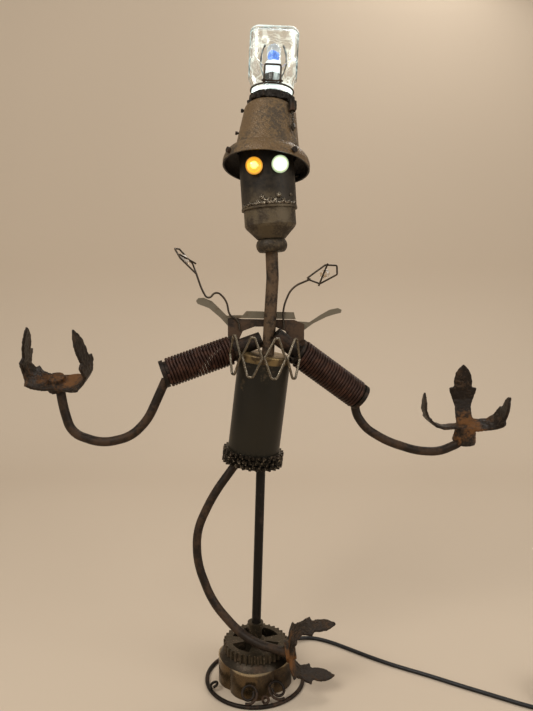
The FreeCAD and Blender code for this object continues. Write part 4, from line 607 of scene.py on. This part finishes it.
def eye_spread(finish, side):
    """How far a point lies from the middle of one eye, seen from the front."""
    centre = middle_of(side + "_eye_lens")
    offset = finish.mapped((1, 0, 1), (-centre.x, 0, -centre.z))
    return offset.node("VectorMath", {"operation": "LENGTH"}, {0: offset}, "Value")


def lit_lens(name, side, core, ring, rim):
    """A domed lens that glows from its centre outwards, with rings moulded in it."""
    finish = Finish(name, Roughness=0.18, Coat_Weight=0.4, Emission_Strength=3.0)
    spread = eye_spread(finish, side)
    stops = [(0.0, core), (0.34, core), (0.56, ring), (0.74, ring), (1.0, rim)]
    glow = spread.node("ValToRGB", {"stops": stops}, {"Fac": spread * (1 / LENS_EDGE)})
    finish.set(Base_Color=spread.between(0.0, 0.02).mixed(core, rim), Emission_Color=glow)
    return finish.material


dress(lit_lens("amber_lens", "left", core=(1.0, 0.66, 0.12), ring=(0.300, 0.070, 0.0),
               rim=(0.36, 0.150, 0.0)), "left_eye_lens")
dress(lit_lens("white_lens", "right", core=(1.0, 1.0, 0.95), ring=(0.33, 0.36, 0.30),
               rim=(0.30, 0.37, 0.22)), "right_eye_lens")
NO_GLOW, AMBER_GLOW, WHITE_GLOW = (0.0, 0.0, 0.0), (0.85, 0.34, 0.0), (0.58, 0.74, 0.44)
# Painted glow: an emission on the bezels, amber and white, that fades out from each eye's middle.
bezels = Finish("bezel_nickel", Roughness=0.3, Metallic=0.6, Emission_Strength=1.0)
tarnished = bezels.noise(200, 4)
painted_amber_glow = eye_spread(bezels, "left").between(GLOW_EDGE, GLOW_ROOT)
painted_white_glow = eye_spread(bezels, "right").between(GLOW_EDGE, GLOW_ROOT)
bezels.set(Base_Color=tarnished.between(0.4, 0.65).mixed((0.20, 0.165, 0.11), (0.07, 0.05, 0.028)))
bezels.set(Emission_Color=painted_white_glow.mixed(painted_amber_glow.mixed(NO_GLOW, AMBER_GLOW), WHITE_GLOW))
dress(bezels.material, "eye_bezels")

# Hat
# The bell-shaped housing of an old lamp in khaki crackle enamel, with painted shade making it dark inside.
# Four screws in its brim and two studs on its left side stay from its first use, and a small pull switch
# sits on its right.

KHAKI_DARK, KHAKI_PALE = (0.128, 0.074, 0.028), (0.198, 0.122, 0.050)
WORN_BROWN, PAINTED_SHADE_INSIDE = (0.066, 0.045, 0.025), (0.020, 0.014, 0.009)
enamel = Finish("crackle_enamel", Metallic=0.1)
crackle = enamel.place.node("TexVoronoi", {"feature": "DISTANCE_TO_EDGE"},
                            {"Vector": enamel.place, "Scale": 520})
mottle = enamel.noise(30, 6, 0.62)
pitting = enamel.noise(380, 3, 0.6)
crust = enamel.noise(900, 2, 0.5)
worn = (mottle * 0.6 + pitting * 0.4).between(0.46, 0.62)
khaki = mottle.between(0.3, 0.7).mixed(KHAKI_DARK, KHAKI_PALE)
hat_middle = middle_of("hat")
radial = enamel.mapped((1, 1, 0), (-hat_middle.x, -hat_middle.y, 0.02))
facing = enamel.place.node("VectorMath", {"operation": "DOT_PRODUCT"}, {0: radial, 1: enamel.normal},
                           "Value")
# Painted shade: faces turned into the hat are darkened to near black.
inside = facing.between(0.002, -0.006)
enamel.set(Base_Color=inside.mixed(worn.mixed(khaki, WORN_BROWN), PAINTED_SHADE_INSIDE), Roughness=0.46 + worn * 0.2)
enamel.bump(crackle.between(0.0, 0.12) * 0.5 + pitting * 0.5 + crust * 0.3 - worn * 0.3, 0.6 * MM)
dress(enamel.material, "hat")
dress(black_iron, "hat_screws", "lamp_pipe", "pull_switch")
dress(iron("chain_steel", dark=(0.055, 0.044, 0.032), rust=(0.05, 0.034, 0.019), bright=(0.32, 0.27, 0.20),
           patches=200, cover=0.3, rough=0.30, metal=0.8, relief=0.05), "pull_chain")

# Crown
# Scrap nuggets welded in a ring on the hat's top, black with scale. The jar's mouth rests on them.

crown_slag = iron("crown_slag", dark=(0.014, 0.011, 0.008), rust=(0.040, 0.026, 0.015),
                  bright=(0.28, 0.22, 0.15), patches=150, cover=0.4, rough=0.38, metal=0.6, relief=0.6,
                  fleck=0.55)
rough_copy("crown", "lamp", crown_slag, voxel=0.6, relief=1.3, patches=2.6)

# Lamp holder and bulb
# A black holder with two prongs carries a small capsule lamp with a white base. The lamp is lit, and its
# middle shines blue.

holder = Finish("holder_black")
grime = holder.noise(300, 3)
holder.set(Base_Color=grime.between(0.4, 0.7).mixed((0.016, 0.015, 0.014), (0.045, 0.040, 0.035)))
holder.set(Roughness=grime * 0.3 + 0.22)
dress(holder.material, "lamp_holder")
base_white = Finish("bulb_base_white", Roughness=0.4, Emission_Strength=0.55,
                    Emission_Color=(0.85, 0.95, 1.0))
chalk = base_white.noise(160, 3)
base_white.set(Base_Color=chalk.between(0.3, 0.7).mixed((0.93, 0.95, 0.95), (0.78, 0.84, 0.86)))
dress(base_white.material, "bulb_base")
bulb_glass = Finish("bulb_glass", Roughness=0.06, Transmission_Weight=0.9, IOR=1.3, Emission_Strength=0.15)
frost = bulb_glass.noise(130, 3)
bulb_glass.set(Base_Color=frost.between(0.3, 0.7).mixed((0.86, 0.95, 1.0), (0.97, 1.0, 1.0)))
bulb_glass.set(Emission_Color=frost.between(0.42, 0.62).mixed((0.10, 0.22, 0.40), (0.80, 0.95, 1.0)))
dress(bulb_glass.material, "bulb")
CORE_RADIUS, CORE_DROP, CELL_RIM, CELL_DEPTH = 4.4, 2.5, 0.16, 0.14  # millimetres
bpy.ops.object.select_all(action="DESELECT")
bpy.ops.mesh.primitive_ico_sphere_add(subdivisions=2, radius=CORE_RADIUS * MM,
                                      location=middle_of("bulb") - Vector((0, 0, CORE_DROP * MM)))
led_core = bpy.context.object
led_core.name = "led_core"
led_core.scale = (1.0, 1.0, 1.15)
bpy.ops.object.transform_apply(location=True, rotation=True, scale=True)
bpy.ops.object.mode_set(mode="EDIT")
bpy.ops.mesh.select_all(action="SELECT")
bpy.ops.mesh.inset(thickness=CELL_RIM * MM, depth=CELL_DEPTH * MM, use_individual=True)
bpy.ops.object.mode_set(mode="OBJECT")
blue_glow = Finish("blue_glow", Roughness=0.25, Emission_Strength=1.0)
spark = blue_glow.noise(420, 2).between(0.4, 0.66).mixed((0.0, 0.075, 0.40), (0.005, 0.18, 0.68))
blue_glow.set(Base_Color=spark, Emission_Color=spark)
paint(led_core, blue_glow.material)
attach(led_core, "lamp")

# Jar
# A thick square glass jar stands mouth down over the lamp, with the wire and loop of its old stopper round
# its neck. Painted light: a white emission on its corners, mouth, shoulders and veins in its walls stands
# for the lamp's light caught in the glass.

RIB_PITCH = 0.0050  # metres
low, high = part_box("jar")
centre, half = (low + high) / 2, (high - low) / 2
jar_glass = Finish("jar_glass", Base_Color=(0.97, 0.985, 0.98), Roughness=0.03, Transmission_Weight=1.0,
                   IOR=1.45, Emission_Strength=1.0)
height = jar_glass.along(2)
sideways = abs((jar_glass.along(0) - centre.x) * (1 / half.x))
depthways = abs((jar_glass.along(1) - centre.y) * (1 / half.y))
corner = (sideways * depthways).between(0.66, 0.90)
stripes = height.maths("SINE", (height - low.z) * (2 * pi / RIB_PITCH))
mouth = height.between(low.z + 0.0125, low.z + 0.0085) * (stripes * 0.4 + 0.6)
shoulder = height.between(high.z - 0.0050, high.z - 0.0015) * sideways.higher(depthways).between(0.55, 0.95)
swirl = jar_glass.noise(46, 2, 0.5, jar_glass.mapped((1, 1, 0.6)))
veins = abs(swirl - 0.5).between(0.030, 0.004)
# Painted light: the white glow on the corners, mouth, shoulders and veins of the glass.
painted_glass_glow = (corner * 0.85).higher(mouth * 0.9).higher(shoulder * 0.8).higher(veins * 0.30)
jar_glass.set(Emission_Color=painted_glass_glow.mixed((0.008, 0.010, 0.009), (0.86, 1.0, 0.93)))
jar_glass.bump(swirl + jar_glass.noise(120, 2) * 0.4, 0.9 * MM)
dress(jar_glass.material, "jar")
dress(antenna_wire, "jar_wire", "jar_clasp")

# Plug
# A small moulded plug with a plated tongue lies beside the coil.

moulded = Finish("plug_plastic")
grain = moulded.noise(900, 2)
moulded.set(Base_Color=grain.between(0.3, 0.7).mixed((0.020, 0.020, 0.020), (0.032, 0.031, 0.030)))
moulded.set(Roughness=grain * 0.15 + 0.32)
dress(moulded.material, "plug")
